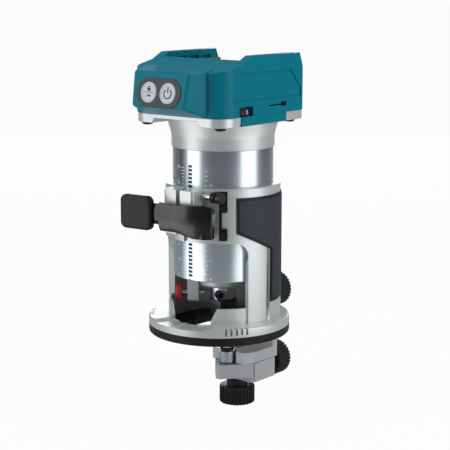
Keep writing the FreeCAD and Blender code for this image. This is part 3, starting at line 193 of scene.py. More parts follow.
teal = moulded("teal_housing_plastic", tint(0, 112, 131), 0.34, 0.010, 2.6, specular=0.12)
black_plastic = moulded("black_moulded_plastic", tint(13, 14, 17), 0.44, 0.02, 2.4, specular=0.28)
knob_plastic = moulded("black_knob_plastic", tint(18, 19, 21), 0.40, 0.012, 3.0)
lever_plastic = moulded("glossy_lever_plastic", tint(4, 5, 7), 0.22, 0.002, 1.2, coat=0.1)
panel_plastic = moulded("dark_panel_plastic", tint(34, 40, 46), 0.42, 0.012, 3.0)
red_plastic = moulded("red_button_plastic", tint(190, 24, 30), 0.28, 0.01, 2.0, coat=0.2)
cap_plastic = moulded("grey_button_plastic", tint(196, 202, 206), 0.34, 0.008, 2.0, coat=0.15)
rail_plastic = moulded("brown_rail_plastic", tint(104, 92, 84), 0.42, 0.012, 2.0)
brown_plastic = moulded("terminal_block_plastic", tint(92, 44, 34), 0.45, 0.015, 2.0)
board_green = moulded("circuit_board", tint(24, 84, 52), 0.35, 0.01, 1.5)
ink_white = moulded("white_ink", tint(226, 230, 232), 0.5, 0.003, 3.0)
ink_dark = moulded("dark_ink", tint(44, 46, 50), 0.5, 0.003, 3.0)
print("plastics:", teal.name, black_plastic.name, lever_plastic.name)

# %% [markdown]
# The grips are a soft elastomer with rows of small raised dots. The rows follow the collar, so the
# dots are worked out from the angle round the tool and the height, as the mould maker would lay them out.


# %% Dotted grip rubber
def dotted_rubber(name, colour, pitch):
    finish = Finish(name, colour, 0.62, specular=0.35)
    x, y, z = (finish.axis(k) for k in "XYZ")
    turn = finish.node("ShaderNodeMath", {"operation": "ARCTAN2"}, i0=y, i1=x)
    across = finish.node("ShaderNodeMath", {"operation": "SINE"}, i0=turn * (38.0 * 2 * math.pi / pitch))
    down = finish.node("ShaderNodeMath", {"operation": "SINE"}, i0=z * (2 * math.pi / pitch))
    dots = (across * down * 1.6).most(0.0).least(1.0)
    grain = finish.noise(3.0, 2.0)
    finish.feed("Base Color", finish.mix(dots * 0.1 + grain * 0.15, colour, tint(84, 90, 98)))
    finish.feed("Roughness", 0.66 - dots * 0.08)
    finish.bump(dots + grain * 0.2, 0.07)
    return finish.material


grip_rubber = dotted_rubber("dotted_grip_rubber", tint(44, 49, 56), 2.6)
print("rubber:", grip_rubber.name)

# %% [markdown]
# ## Metals
# Three metal surfaces matter here. The base and flange are die cast and tumbled to a satin.
# The motor tube is turned, so it has very fine rings round it, and its colour carries a painted blue
# reflection tint. Screws are darkened steel.


# %% Metals
def metal(name, colour, rough, grain, per_mm, stretch=(1, 1, 1), vary=0.08, metallic=1.0):
    finish = Finish(name, colour, rough, metal=metallic)
    fine = finish.noise(per_mm, 3.0, stretch)
    slow = finish.noise(0.05, 3.0, seed=2.0)
    darker = tuple(c * 0.86 for c in colour[:3]) + (1.0,)
    finish.feed("Base Color", finish.mix(slow * 0.5 + fine * 0.3, colour, darker))
    finish.feed("Roughness", rough - vary / 2 + fine * vary + slow * 0.06)
    finish.bump(fine, grain)
    return finish.material


cast_silver = metal("satin_cast_aluminium", tint(212, 217, 216), 0.33, 0.012, 1.6, metallic=0.5)
guide_silver = metal("cast_guide_aluminium", tint(214, 216, 218), 0.32, 0.03, 1.1, metallic=0.5)
# The cool blue cast of the tube colour is a painted reflection of cool surroundings; turned aluminium itself
# is nearly neutral.
turned_silver = metal("turned_tube_aluminium", tint(206, 216, 223), 0.22, 0.002, 1.0,
                      stretch=(0.02, 0.02, 9.0), vary=0.05)
bright_steel = metal("bright_steel", tint(196, 198, 202), 0.24, 0.004, 2.0)
dark_steel = metal("darkened_steel", tint(58, 58, 62), 0.36, 0.01, 2.0)
nut_steel = metal("collet_nut_steel", tint(92, 92, 96), 0.30, 0.008, 2.0)
zinc_blue = metal("zinc_plated_steel", tint(196, 208, 216), 0.24, 0.005, 1.4)
copper = metal("contact_copper", tint(196, 120, 78), 0.30, 0.006, 2.0)
lens = Finish("clear_light_lens", tint(226, 232, 240), 0.06, specular=0.6, coat=0.5).material
print("metals:", cast_silver.name, turned_silver.name, dark_steel.name)

# %% [markdown]
# ## Shapes from outlines
# Nearly every part of the tool is either turned or has one outline pushed straight. Both are
# made here as closed meshes in millimetres, then softened and scaled to metres at the end.


# %% Places that several pieces share, in millimetres
TUBE_R, TUBE_IN_R = 32.5, 29.5
PINION_Y, PINION_Z, RACK_PITCH = -35.18, 93.6, math.pi * 0.8
LEVER_PIVOT, DIAL, ROLLER = (19.0, -40.2), (30.3, -23.5), (0, 4.2)
BUTTON_X, SCREW_FACE_Z, LOCK_TURN, LOCK_Z = 7.7, 138.3, -56, 23.5
HOLDER_CLAMP_Z, FEED_Z, SLIDE_CLAMP_Y = 16.5, -32.5, 15.0
print("the rack and the pinion share a pitch of", round(RACK_PITCH, 3), "mm")


# %% Points, turned shapes and straight shapes
def polar(radius, azimuth, centre=(0.0, 0.0)):
    """A plan point at an azimuth from the front, turning towards the right."""
    a = math.radians(azimuth)
    return (centre[0] + radius * math.sin(a), centre[1] - radius * math.cos(a))


def arc(radius, start, end, steps=48, centre=(0.0, 0.0)):
    return [polar(radius, start + (end - start) * i / steps, centre) for i in range(steps + 1)]


def solid(name, rings, closed_rings=True, caps=True):
    """A closed mesh through a list of rings of equal length."""
    bm = bmesh.new()
    rows = [[bm.verts.new(p) for p in ring] for ring in rings]
    pairs = list(zip(rows, rows[1:])) + ([(rows[-1], rows[0])] if not caps else [])
    count = len(rows[0])
    for low, high in pairs:
        for i in range(count if closed_rings else count - 1):
            j = (i + 1) % count
            bm.faces.new((low[i], low[j], high[j], high[i]))
    if caps:
        bm.faces.new(rows[0])
        bm.faces.new(rows[-1])
    bmesh.ops.remove_doubles(bm, verts=bm.verts, dist=1e-5)
    bmesh.ops.recalc_face_normals(bm, faces=bm.faces)
    mesh = bpy.data.meshes.new(name)
    bm.to_mesh(mesh)
    bm.free()
    obj = bpy.data.objects.new(name, mesh)
    bpy.context.scene.collection.objects.link(obj)
    return obj


def push(name, outline, low, high):
    """An upright solid over a plan outline."""
    return solid(name, [[(x, y, low) for x, y in outline], [(x, y, high) for x, y in outline]])


def push_x(name, outline, left, right):
    """A solid along X over an outline of (y, z) points."""
    return solid(name, [[(left, y, z) for y, z in outline], [(right, y, z) for y, z in outline]])


def lathe(name, profile, start=0.0, end=360.0, steps=144, centre=(0.0, 0.0)):
    """A closed profile of (radius, z) points turned round an upright axis."""
    whole = abs(end - start - 360) < 1e-6
    angles = [start + (end - start) * i / steps for i in range(steps if whole else steps + 1)]
    rings = [[polar(r, a, centre) + (z,) for r, z in profile] for a in angles]
    return solid(name, rings, caps=not whole)


def rod(name, radius, low, high, steps, centre=(0.0, 0.0)):
    return lathe(name, [(0, low), (radius, low), (radius, high), (0, high)], steps=steps, centre=centre)


def block(name, left, right, front, rear, low, high):
    return push(name, [(left, front), (right, front), (right, rear), (left, rear)], low, high)


def rounded(half_w, front, rear, r_front, r_rear, steps=12):
    """A rounded rectangle in plan."""
    corners = [(half_w, -front, r_front, 0), (half_w, rear, r_rear, 90), (-half_w, rear, r_rear, 180),
               (-half_w, -front, r_front, 270)]
    points = []
    for x, y, r, turn in corners:
        centre = (x - math.copysign(r, x), y - math.copysign(r, y))
        points += arc(r, turn, turn + 90, steps, centre)
    return points


print("a quarter arc has", len(arc(10, 0, 90, 8)), "points")

# %% [markdown]
# ## Joining, carving and softening
# A real moulding has no sharp edges. Solids are joined or carved with exact booleans, then every
# edge that turns sharply gets a narrow bevel, which is what catches the light.


# %% Modifiers that are applied at once
def settle(obj):
    """Turn the modifiers of an object into its plain mesh."""
    bpy.context.view_layer.update()
    graph = bpy.context.evaluated_depsgraph_get()
    mesh = bpy.data.meshes.new_from_object(obj.evaluated_get(graph))
    obj.modifiers.clear()
    obj.data = mesh
    return obj


def combine(obj, others, operation):
    for other in others:
        step = obj.modifiers.new("step", "BOOLEAN")
        step.operation, step.object, step.solver = operation, other, "EXACT"
        settle(obj)
        bpy.data.objects.remove(other)
    return obj


def carve(obj, *others):
    return combine(obj, others, "DIFFERENCE")


def join(obj, *others):
    return combine(obj, others, "UNION")


def overlap(obj, *others):
    return combine(obj, others, "INTERSECT")


def soften(obj, width, segments=2, angle=32):
    """Bevel every edge that turns by more than an angle."""
    bm = bmesh.new()
    bm.from_mesh(obj.data)
    bmesh.ops.remove_doubles(bm, verts=bm.verts, dist=1e-4)
    bmesh.ops.dissolve_limit(bm, angle_limit=math.radians(0.6), verts=bm.verts, edges=bm.edges)
    bm.to_mesh(obj.data)
    bm.free()
    step = obj.modifiers.new("soft edges", "BEVEL")
    step.width, step.segments, step.limit_method = width, segments, "ANGLE"
    step.angle_limit = math.radians(angle)
    return settle(obj)


def place(obj, turn=(0, 0, 0), move=(0, 0, 0)):
    """Turn a mesh about the origin, in degrees, and then move it."""
    matrix = Matrix.Translation(move)
    for axis, degrees in zip("ZYX", reversed(turn)):
        matrix = matrix @ Matrix.Rotation(math.radians(degrees), 4, axis)
    obj.data.transform(matrix)
    return obj


def merge(obj, *others):
    """Several closed meshes as one object, with their materials."""
    bm = bmesh.new()
    materials = []
    for part in (obj,) + others:
        first = len(materials)
        materials += list(part.data.materials) or [None]
        start = len(bm.faces)
        bm.from_mesh(part.data)
        bm.faces.ensure_lookup_table()
        for face in bm.faces[start:]:
            face.material_index += first
    obj.data.materials.clear()
    for material in materials:
        obj.data.materials.append(material)
    bm.to_mesh(obj.data)
    bm.free()
    for part in others:
        bpy.data.objects.remove(part)
    return obj


def dress(obj, material):
    obj.data.materials.clear()
    obj.data.materials.append(material)
    return obj


def hand_over(obj, body, nodes=(), sharp=34):
    """Scale a finished piece to metres and fix it to its body."""
    obj.data.transform(Matrix.Scale(0.001, 4))
    obj.data.polygons.foreach_set("use_smooth", [True] * len(obj.data.polygons))
    obj.data.set_sharp_from_angle(angle=math.radians(sharp))
    step = obj.modifiers.new("flat faces stay flat", "WEIGHTED_NORMAL")
    step.keep_sharp, step.weight = True, 90
    settle(obj)
    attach(obj, body)
    if nodes:
        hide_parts(*nodes)
    print(obj.name, len(obj.data.polygons), "faces on", body)
    return obj


# %% [markdown]
# ## Repeats
# Ribs, teeth, scale ticks and screws repeat a piece with a turn or a step. One Geometry Nodes
# tree does both: it places copies at Index times Step, turned by Index times Turn.


# %% A tree that repeats its piece
def repeat_tree():
    tree = bpy.data.node_groups.new("repeat_piece", "GeometryNodeTree")
    face = tree.interface
    face.new_socket("Geometry", in_out="INPUT", socket_type="NodeSocketGeometry")
    for name, kind in (("Count", "NodeSocketInt"), ("Step", "NodeSocketVector"),
                       ("Turn", "NodeSocketVector"),
                       ("Place", "NodeSocketVector"), ("Material", "NodeSocketMaterial")):
        face.new_socket(name, in_out="INPUT", socket_type=kind)
    face.new_socket("Geometry", in_out="OUTPUT", socket_type="NodeSocketGeometry")
    new, link = tree.nodes.new, tree.links.new
    given, result = new("NodeGroupInput"), new("NodeGroupOutput")
    line, copies = new("GeometryNodeMeshLine"), new("GeometryNodeInstanceOnPoints")
    index, scale = new("GeometryNodeInputIndex"), new("ShaderNodeVectorMath")
    moved, real = new("GeometryNodeTransform"), new("GeometryNodeRealizeInstances")
    paint = new("GeometryNodeSetMaterial")
    scale.operation = "SCALE"
    for source, out, target, into in ((given, "Count", line, "Count"), (given, "Step", line, "Offset"),
                                      (line, "Mesh", copies, "Points"),
                                      (given, "Geometry", copies, "Instance"),
                                      (given, "Turn", scale, 0), (index, "Index", scale, "Scale"),
                                      (scale, "Vector", copies, "Rotation"),
                                      (copies, "Instances", moved, "Geometry"),
                                      (given, "Place", moved, "Translation"),
                                      (moved, "Geometry", real, "Geometry"),
                                      (real, "Geometry", paint, "Geometry"),
                                      (given, "Material", paint, "Material"),
                                      (paint, "Geometry", result, "Geometry")):
        link(source.outputs[out], target.inputs[into])
    return tree


REPEAT = repeat_tree()


def repeat(obj, count, material, step=(0, 0, 0), turn=(0, 0, 0), place_at=(0, 0, 0)):
    """Copies of a piece, as one plain mesh."""
    modifier = obj.modifiers.new("repeat", "NODES")
    modifier.node_group = REPEAT
    values = {"Count": count, "Step": step, "Turn": [math.radians(t) for t in turn], "Place": place_at,
              "Material": material}
    for item in REPEAT.interface.items_tree:
        if item.in_out == "INPUT" and item.name in values:
            modifier[item.identifier] = values[item.name]
    return settle(obj)


print("the repeat tree has", len(REPEAT.nodes), "nodes")

# %% [markdown]
# ## The battery housing
# It is one moulding with a flat underside, a bay for the battery that is open at the top and rear, and
# a block at the front that leans back and flares into the front wall. The outside is made first and softened
# with a wide radius. The bay, the slots and the windows are carved afterwards, with crisp edges.

# %% Housing: outside shape
HALF_W, FRONT, REAR, BASE_Z, TOP_Z = 38.0, 47.0, 37.0, 144.3, 181.0
LEAN = math.atan(4.0 / 21.5)

plan = push("plan", rounded(HALF_W, FRONT, REAR, 12.0, 4.0), BASE_Z, TOP_Z)
side = push_x("side", [(-60, BASE_Z - 1), (50, BASE_Z - 1), (50, 147), (37.6, 165.0), (31.0, TOP_Z),
                       (-16.5, TOP_Z),
                       (-25.5, 176.5), (-60, 168.9)], -60, 60)
housing = overlap(plan, side)
housing = soften(housing, 1.7, 4)
print("housing outside:", len(housing.data.polygons), "faces")

# %% Housing: the button block
thumb_block = push_x("thumb_block", [(-40, 144.35), (-47.5, 144.35), (-63.0, 150.5), (-59.0, 172.0),
                                     (-40, 174.4)], -30, 30)
flare = [(-20.8, -64), (20.8, -64), (26.4, -46.7), (26.4, -38), (-26.4, -38), (-26.4, -46.7)]
thumb_block = overlap(thumb_block, push("flare", flare, 140, 180))
thumb_block = soften(thumb_block, 1.5, 4)
housing = join(housing, thumb_block)
print("with its button block:", len(housing.data.polygons), "faces")

# %% Housing: the bay, its rails and the hollow below
bay = block("bay", -31.5, 31.5, -22, 60, 162.5, 200)
rails = block("rails", -34.5, 34.5, -19, 60, 167.5, 172.5)
housing = carve(housing, bay, rails)
stops = [push_x("stop", [(-8 + 12 * k, 175.2), (1 + 12 * k, 175.2), (1 + 12 * k, 177.4),
                         (-8 + 12 * k, 177.4)], *ends)
         for ends in ((-33.6, -30), (30, 33.6)) for k in range(3)]
housing = carve(housing, *stops)
print("bay cut:", len(housing.data.polygons), "faces")


# %% Housing: windows, slots and bare label places
def on_panel(obj):
    """Lay a piece that faces the front onto the leaning panel."""
    y = -63.0 + (159.3 - 150.5) * math.tan(LEAN)
    return place(obj, (-math.degrees(LEAN), 0, 0), (0, y, 159.3))


def stadium(width, height):
    r = height / 2
    x = width / 2 - r
    right = [(x + r * math.cos(math.radians(a)), r * math.sin(math.radians(a))) for a in range(-90, 91, 7)]
    return right + [(-px, -py) for px, py in right]


def facing(name, outline, near, far):
    """A solid through depth over an outline of (x, z) points."""
    return solid(name, [[(x, near, z) for x, z in outline], [(x, far, z) for x, z in outline]])


def disc(r, x=0.0, z=0.0, steps=48):
    return [(x + r * math.cos(2 * math.pi * i / steps), z + r * math.sin(2 * math.pi * i / steps))
            for i in range(steps)]


dial_window = block("window", 29, 40, -30.2, -16.8, 143, 150.2)
vent = block("vent", -40, 40, -1, 17, 148.9, 149.8)
vent_ends = block("vent_ends", -40, 40, 11.5, 17.2, 148.1, 151.0)
LABEL = [(-36, 153.4), (-36, 171), (21.8, 171), (32.7, 158.5), (32.7, 153.4), (-6.0, 153.4), (-6.9, 153.8),
         (-30, 153.8)]
label = push_x("label", LABEL, 37.3, 40)
left_label = push_x("label", LABEL, -40, -37.3)
pocket = on_panel(facing("pocket", stadium(36.2, 17.8), -6, 0.8))
wells = [on_panel(facing("well", disc(6.7, x), -8, 12)) for x in (-BUTTON_X, BUTTON_X)]
housing = carve(housing, dial_window, vent, vent_ends, label, left_label, pocket, *wells)
housing = soften(housing, 0.35, 2, 40)
dress(housing, teal)
hand_over(housing, "motor", ["battery_housing"])

# %% Skirt beside the flange, and the rails in the bay
skirt = push_x("housing_skirt", [(-28, 138.4), (-27.6, 138.35), (17.1, 138.35), (17.5, 138.8), (17.5, 144.3),
                                 (-28, 144.3)],
               36.05, 37.98)
hand_over(dress(soften(skirt, 0.25), teal), "motor")
for side_sign, name in ((1, "right"), (-1, "left")):
    ends = sorted((side_sign * 30.4, side_sign * 31.48))
    liner = push_x("bay_rail_" + name, [(3.5, 173.0), (34.5, 173.0), (34.5, 175.0), (3.5, 175.0)], *ends)
    hand_over(dress(soften(liner, 0.2), rail_plastic), "motor")

# %% [markdown]
# The front corners carry a raised upright panel. Its two edges are what show as fine lines of light.

# %% Corner panels
for side_sign, name in ((1, "right"), (-1, "left")):
    centre = (26.0 * side_sign, -35.0)
    outline = arc(12.22, side_sign * 6, side_sign * 55, 20, centre)
    outline += arc(11.3, side_sign * 55, side_sign * 6, 20, centre)
    panel = soften(push("corner_panel_" + name, outline, 145.4, 169.6), 0.3, 2, 40)
    hand_over(dress(panel, teal), "motor")

# %% [markdown]
# ## Button panel
# A dark oval plate carries two round buttons. Each button is a shallow dish with a plain pictogram:
# a lock and a lamp on the left, and a power sign on the right.

# %% Panel plate and buttons
plate = facing("button_plate", stadium(36.0, 17.6), -0.55, 0.75)
plate = carve(plate, *[facing("hole", disc(6.5, x), -5, 5) for x in (-BUTTON_X, BUTTON_X)])
plate = dress(on_panel(soften(plate, 0.3)), panel_plastic)
hand_over(plate, "motor", ["control_panel"])


def dish(name, radius):
    """A round cap with a raised rim and a sunken middle."""
    profile = [(0, 0.3), (radius - 1.5, 0.3), (radius - 1.0, 0.75), (radius - 0.5, 0.75), (radius, 0.3),
               (radius, -4.0), (0, -4.0)]
    return place(lathe(name, profile, steps=72), (90, 0, 0), (0, -0.35, 0))


def ring_mark(name, r_out, r_in, start, end, x, z):
    outer = [(x + r_out * math.cos(math.radians(a)), z + r_out * math.sin(math.radians(a)))
             for a in range(start, end + 1, 6)]
    inner = [(x + r_in * math.cos(math.radians(a)), z + r_in * math.sin(math.radians(a)))
             for a in range(end, start - 1, -6)]
    return facing(name, outer + inner, -0.75, -0.55)


def bar_mark(x_low, x_high, z_low, z_high):
    return facing("sign", [(x_low, z_low), (x_high, z_low), (x_high, z_high), (x_low, z_high)], -0.75, -0.55)


def power_sign(x):
    """A broken circle with an upright bar at its gap."""
    return [ring_mark("sign", 3.3, 2.5, 126, 414, x, -0.2), bar_mark(x - 0.42, x + 0.42, 0.2, 3.9)]


def lamp_sign(x):
    """A padlock over a line, over a lamp with its rays."""
    lock = [bar_mark(x - 1.3, x + 1.3, 0.9, 2.7), ring_mark("sign", 1.15, 0.75, 0, 180, x, 2.7)]
    lamp = [bar_mark(x - 0.6, x + 1.2, -2.6, -1.5), bar_mark(x + 1.3, x + 1.6, -3.0, -1.1)]
    rays = [bar_mark(x - 2.0, x - 1.0, z, z + 0.22) for z in (-2.7, -2.1, -1.5)]
    return lock + lamp + rays + [bar_mark(x - 4.3, x + 4.3, -0.14, 0.14)]


for body, node, x, name in (("power_key", "power_button", BUTTON_X, "power_cap"),
                            ("light_key", "light_button", -BUTTON_X, "light_cap")):
    cap = dress(place(dish(name, 6.4), move=(x, 0, 0)), cap_plastic)
    signs = power_sign(x) if body == "power_key" else lamp_sign(x)
    cap = merge(cap, *[dress(s, ink_dark) for s in signs])
    hand_over(on_panel(cap), body, [node])

# %% [markdown]
# ## Speed dial and terminals
# The speed dial is a thumb wheel that shows through a window, with a figure on each sixth of its rim.
# The terminal block stands in the bay, and its copper blades meet the battery's contacts.

# %% Speed dial
wheel = lathe("speed_wheel", [(3.1, 145.0), (8.0, 145.0), (8.15, 145.4), (8.15, 149.4), (8.0, 149.8),
                              (3.1, 149.8)],
              steps=96, centre=DIAL)
notch = block("notch", -0.28, 0.28, -8.4, -7.85, 148.2, 151)
notches = repeat(notch, 36, black_plastic, turn=(0, 0, 10), place_at=DIAL + (0,))
wheel = dress(soften(carve(wheel, notches), 0.12), black_plastic)


def letters(name, text, size, thick=0.12):
    """Figures that stand on the X-Z plane and face the front."""
    curve = bpy.data.curves.new(name, "FONT")
    curve.body, curve.size, curve.extrude = text, size, thick / 2
    curve.align_x, curve.align_y = "CENTER", "CENTER"
    holder = bpy.data.objects.new(name, curve)
    bpy.context.scene.collection.objects.link(holder)
    bpy.context.view_layer.update()
    mesh = bpy.data.meshes.new_from_object(holder.evaluated_get(bpy.context.evaluated_depsgraph_get()))
    bpy.data.objects.remove(holder)
    obj = bpy.data.objects.new(name, mesh)
    bpy.context.scene.collection.objects.link(obj)
    return place(obj, (90, 0, 0))


def wrapped(obj, radius, azimuth, z, centre=(0.0, 0.0)):
    """Bend a flat mark that faces the front round an upright cylinder."""
    for vertex in obj.data.vertices:
        x, y, height = vertex.co
        turn = math.radians(azimuth) + x / radius
        r = radius - y
        vertex.co = (centre[0] + r * math.sin(turn), centre[1] - r * math.cos(turn), z + height)
    return obj


figures = [dress(wrapped(letters("figure", str(k + 1), 3.7), 8.18, 90 + 60 * (k - 4), 147.0, DIAL),
                 ink_white)
           for k in range(6)]
wheel = merge(wheel, *figures)
hand_over(wheel, "dial", ["speed_dial"])

# %% Terminal block
case = block("terminal_case", -14.9, 14.9, -21.8, -10.2, 162.6, 172.4)
slots = [block("slot", x - .6, x + .6, -18.8, 0, 164.4, 171.5) for x in (-11, -3.5, 3.5, 11)]
case = dress(soften(carve(case, *slots), 0.35), brown_plastic)
hand_over(case, "motor", ["terminal_block"])
blades = [dress(soften(push("battery_blades", [(x - .38, -18.8), (x + .38, -18.8), (x + .38, 1.2), (x, 1.9),
                                               (x - .38, 1.2)], 164.9, 171.1), 0.1), copper)
          for x in (-11, -3.5, 3.5, 11)]
hand_over(merge(*blades), "motor", ["battery_terminals"])

# %% [markdown]
# ## Flange and motor tube
# The silver flange carries the plastic housing on four screws. Below it the shoulder runs down into
# the turned tube. The tube is one lathe profile, and its rack is milled into the front.

# %% Flange with its corner tabs
def skirt_room():
    """The room the housing's skirt takes beside the flange."""
    return block("room", 36.0, 40, -28.2, 17.7, 130, 150)


flange = push("flange_skin", rounded(37.5, 46.5, 36.5, 11.5, 3.5), 141.5, 144.25)
tabs = push("tabs", rounded(37.5, 46.5, 36.5, 11.5, 3.5), 138.3, 142)
tabs = carve(tabs, facing("front_gap", [(-20.5, 137), (20.5, 137), (17.5, 141.6), (-17.5, 141.6)], -60, 60),
             push_x("side_gap", [(-30.5, 137), (19.5, 137), (16.0, 141.6), (-27.0, 141.6)], -60, 60))
flange = join(flange, tabs)
flange = soften(carve(flange, skirt_room()), 0.6, 3)
print("flange:", len(flange.data.polygons), "faces")

# %% Flared shoulder under the flange
shoulder = lathe("shoulder", [(TUBE_IN_R, 121.6), (TUBE_IN_R, 143.0), (36.9, 143.0), (36.6, 141.2),
                              (34.9, 135.0), (33.8, 131.0),
                              (33.3, 128.4), (33.3, 121.8), (33.1, 121.55)], steps=240)
flange = merge(dress(flange, cast_silver), dress(carve(shoulder, skirt_room()), cast_silver))
hand_over(flange, "motor", ["motor_flange"])

# %% Tube and rack
tube = lathe("motor_tube_skin", [(TUBE_IN_R, 41.2), (TUBE_IN_R, 121.4), (32.45, 121.4), (TUBE_R, 121.3),
                                 (TUBE_R, 38.0), (32.2, 37.5),
                                 (31.5, 37.2), (18.5, 37.2), (18.5, 41.2)], steps=240)
channel = block("rack_channel", -1.65, 1.65, -34, -32.3, 38.6, 112.0)
gap = push_x("gap", [(-32.4, -0.93), (-32.4, 0.93), (-30.58, 0.42), (-30.58, -0.42)], -1.65, 1.65)
gaps = repeat(gap, 29, turned_silver, step=(0, 0, RACK_PITCH), place_at=(0, 0, PINION_Z - 21 * RACK_PITCH))
tube = carve(tube, channel, gaps)
tube = dress(soften(tube, 0.12, 1, 50), turned_silver)
print("tube with rack:", len(tube.data.polygons), "faces")


# %% Scale lines and figures on the tube
def tick(name, width, azimuth, low, height=0.34):
    return facing(name, [(-width / 2, low), (width / 2, low), (width / 2, low + height),
                         (-width / 2, low + height)], -0.03, 0.05)


fine = dress(wrapped(tick("ticks", 2.4, 0, 0), TUBE_R, -12.5, 0), ink_white)
fine = repeat(fine, 36, ink_white, step=(0, 0, 2.0), place_at=(0, 0, 39.5))
coarse = repeat(wrapped(tick("ticks", 4.4, 0, 0, 0.4), TUBE_R, -14.2, 0), 8, ink_white, step=(0, 0, 10.0),
                place_at=(0, 0, 39.47))
second = repeat(wrapped(tick("ticks", 2.2, 0, 0), TUBE_R, 20.5, 0), 24, ink_white, step=(0, 0, 3.0),
                place_at=(0, 0, 39.5))
longer = repeat(wrapped(tick("ticks", 3.6, 0, 0, 0.4), TUBE_R, 21.7, 0), 6, ink_white, step=(0, 0, 12.0),
                place_at=(0, 0, 39.47))
numbers = [dress(wrapped(letters("number", str(10 * k), 2.7), TUBE_R, -20.5, 39.7 + 10 * k), ink_white)
           for k in range(8)]
numbers += [dress(wrapped(letters("number", str(k), 2.7), TUBE_R, 26.0, 39.7 + 12 * k), ink_white)
            for k in range(6)]
tube = merge(tube, fine, coarse, second, longer, *numbers)
hand_over(tube, "motor", ["motor_tube"])

# %% [markdown]
# ## Screws
# The screws that hold the housing are cross-headed. One function turns and carves them all, and each
# is turned a little further, as screws are when they are driven home.


# %% Cross-headed screws
def cross_screw(name, radius, head_high, shank_r, shank_long, washer=0.0):
    """A pan-head screw whose head points down from z = 0."""
    profile = [(0, 0), (radius, 0), (radius, -head_high * 0.55), (radius * 0.8, -head_high * 0.9),
               (radius * 0.45, -head_high), (0, -head_high)]
    head = lathe(name, profile, steps=48)
    for w, l in ((radius * 0.14, radius * 0.55), (radius * 0.55, radius * 0.14)):
        head = carve(head, block("cross", -w, w, -l, l, -head_high - 1, -head_high * 0.45))
    shank = lathe("shank", [(0, -0.2), (0, shank_long), (shank_r, shank_long), (shank_r, -0.2)], steps=32)
    return join(soften(head, radius * 0.03, 1, 40), shank)


corner = [(x, y) for x in (-30, 30) for y in (-39, 31)]
bolts = [place(cross_screw("housing_bolts", 3.5, 2.15, 1.9, 5.0), (0, 0, 25 * k), (x, y, SCREW_FACE_Z))
         for k, (x, y) in enumerate(corner)]
hand_over(dress(merge(*bolts), dark_steel), "motor", ["housing_screws"])

# %% [markdown]
# ## Nose, spindle and collet nut
# Under the motor tube sit the cast bearing nose, two lamp lenses and the drilled spindle. The nut
# is a hexagon with turned corners, as every spanner nut has.

# %% Nose and spindle
nose = lathe("bearing_nose", [(8.9, 29.5), (13.8, 29.5), (14.6, 29.9), (15.1, 30.8), (15.2, 34.4),
                              (18.4, 34.7), (18.95, 35.2), (18.95, 37.2), (8.9, 37.2)],
             steps=96)
groove = lathe("groove", [(11.0, 28.0), (11.0, 30.1), (12.2, 30.1), (12.2, 28.0)], steps=96)
hand_over(dress(soften(carve(nose, groove), 0.15, 1, 45), cast_silver), "motor",
          ["bearing_retainer"])
lamps = [place(lathe("lamp_lenses", [(0, 36.05), (1.7, 36.1), (2.4, 36.6), (2.58, 37.4), (2.58, 40),
                                     (0, 40)], steps=40), move=polar(24.5, a) + (0,))
         for a in (-20, 20)]
hand_over(dress(merge(*lamps), lens), "motor", ["led_lenses"])
shaft = lathe("spindle_nose", [(5.1, 20.3), (8.1, 20.3), (8.45, 20.7), (8.45, 41.0), (5.1, 41.0)], steps=96)
drill = place(rod("drill", 3.25, -20, 20, 40), (90, 0, 21.6), (0, 0, 23.8))
shaft = dress(soften(carve(shaft, drill), 0.15, 1, 45), bright_steel)
hand_over(shaft, "rotor", ["spindle"])


# %% Collet nut
def hexagon(flats):
    return [(flats / math.sqrt(3) * math.cos(math.radians(60 * i)),
             flats / math.sqrt(3) * math.sin(math.radians(60 * i))) for i in range(6)]


nut = push("hex_nut", hexagon(17.0), 11.05, 20.15)
nut = overlap(nut, lathe("round_off", [(0, 11.0), (8.3, 11.0), (9.85, 12.6), (9.85, 18.9), (8.7, 20.2),
                                       (0, 20.2)], steps=96))
nut = carve(nut, rod("thread", 7.05, 12.4, 21, 64), rod("mouth", 6.5, 10, 13, 64))
hand_over(dress(soften(nut, 0.18), nut_steel), "nut", ["collet_nut"])

# %% [markdown]
# ## Shaft lock
# A red push piece stops the spindle while the nut is turned. Its steel pin slides in a guide that
# hangs under the tube.

# %% Red lock button and its guide
red = block("lock_button", -3.4, 3.4, -30.95, -26.9, 18.5, 28.5)
red = soften(red, 0.7, 3)
pin = place(lathe("lock_pin", [(0, -26.95), (2.4, -26.95), (2.4, -12.8), (1.9, -12.3), (0, -12.3)],
                  steps=48), (-90, 0, 0), (0, 0, LOCK_Z))
red = merge(dress(red, red_plastic), dress(pin, bright_steel))
hand_over(place(red, (0, 0, LOCK_TURN)), "shaft_lock", ["shaft_lock_button"])
holder = push_x("lock_guide", [(-23.0, 18.7), (-15.5, 18.7), (-15.5, 34.5), (-19.5, 34.6), (-19.5, 37.2),
                               (-23.0, 37.2)], -5, 5)
channel = place(rod("bore", 2.5, -30, -10, 48), (-90, 0, 0), (0, 0, LOCK_Z))
holder = dress(soften(carve(holder, channel), 0.45, 2, 40), cast_silver)
hand_over(place(holder, (0, 0, LOCK_TURN)), "motor", ["shaft_lock_holder"])

# %% [markdown]
# ## Base and collar
# The base is one casting: a round plate, two columns and a split collar. It starts as turned rings.
# The window between the columns has round upper corners, so a rod is carved at each corner.

# %% Collar, columns and window
BASE_Y = -4.0
collar = lathe("base_casting_skin", [(32.6, 64.0), (32.6, 97.2), (33.2, 97.8), (36.6, 97.95), (37.1, 97.6),
                                     (37.3, 97.0), (37.3, 8.0),
                                     (33.0, 8.0), (33.0, 63.0)], steps=240)
WINDOW = 65.0
TURN = math.degrees(9.0 / 37.3)


def wedge(name, r_in, r_out, start, end, low, high, steps=60):
    return push(name, arc(r_out, start, end, steps) + arc(r_in, end, start, steps), low, high)


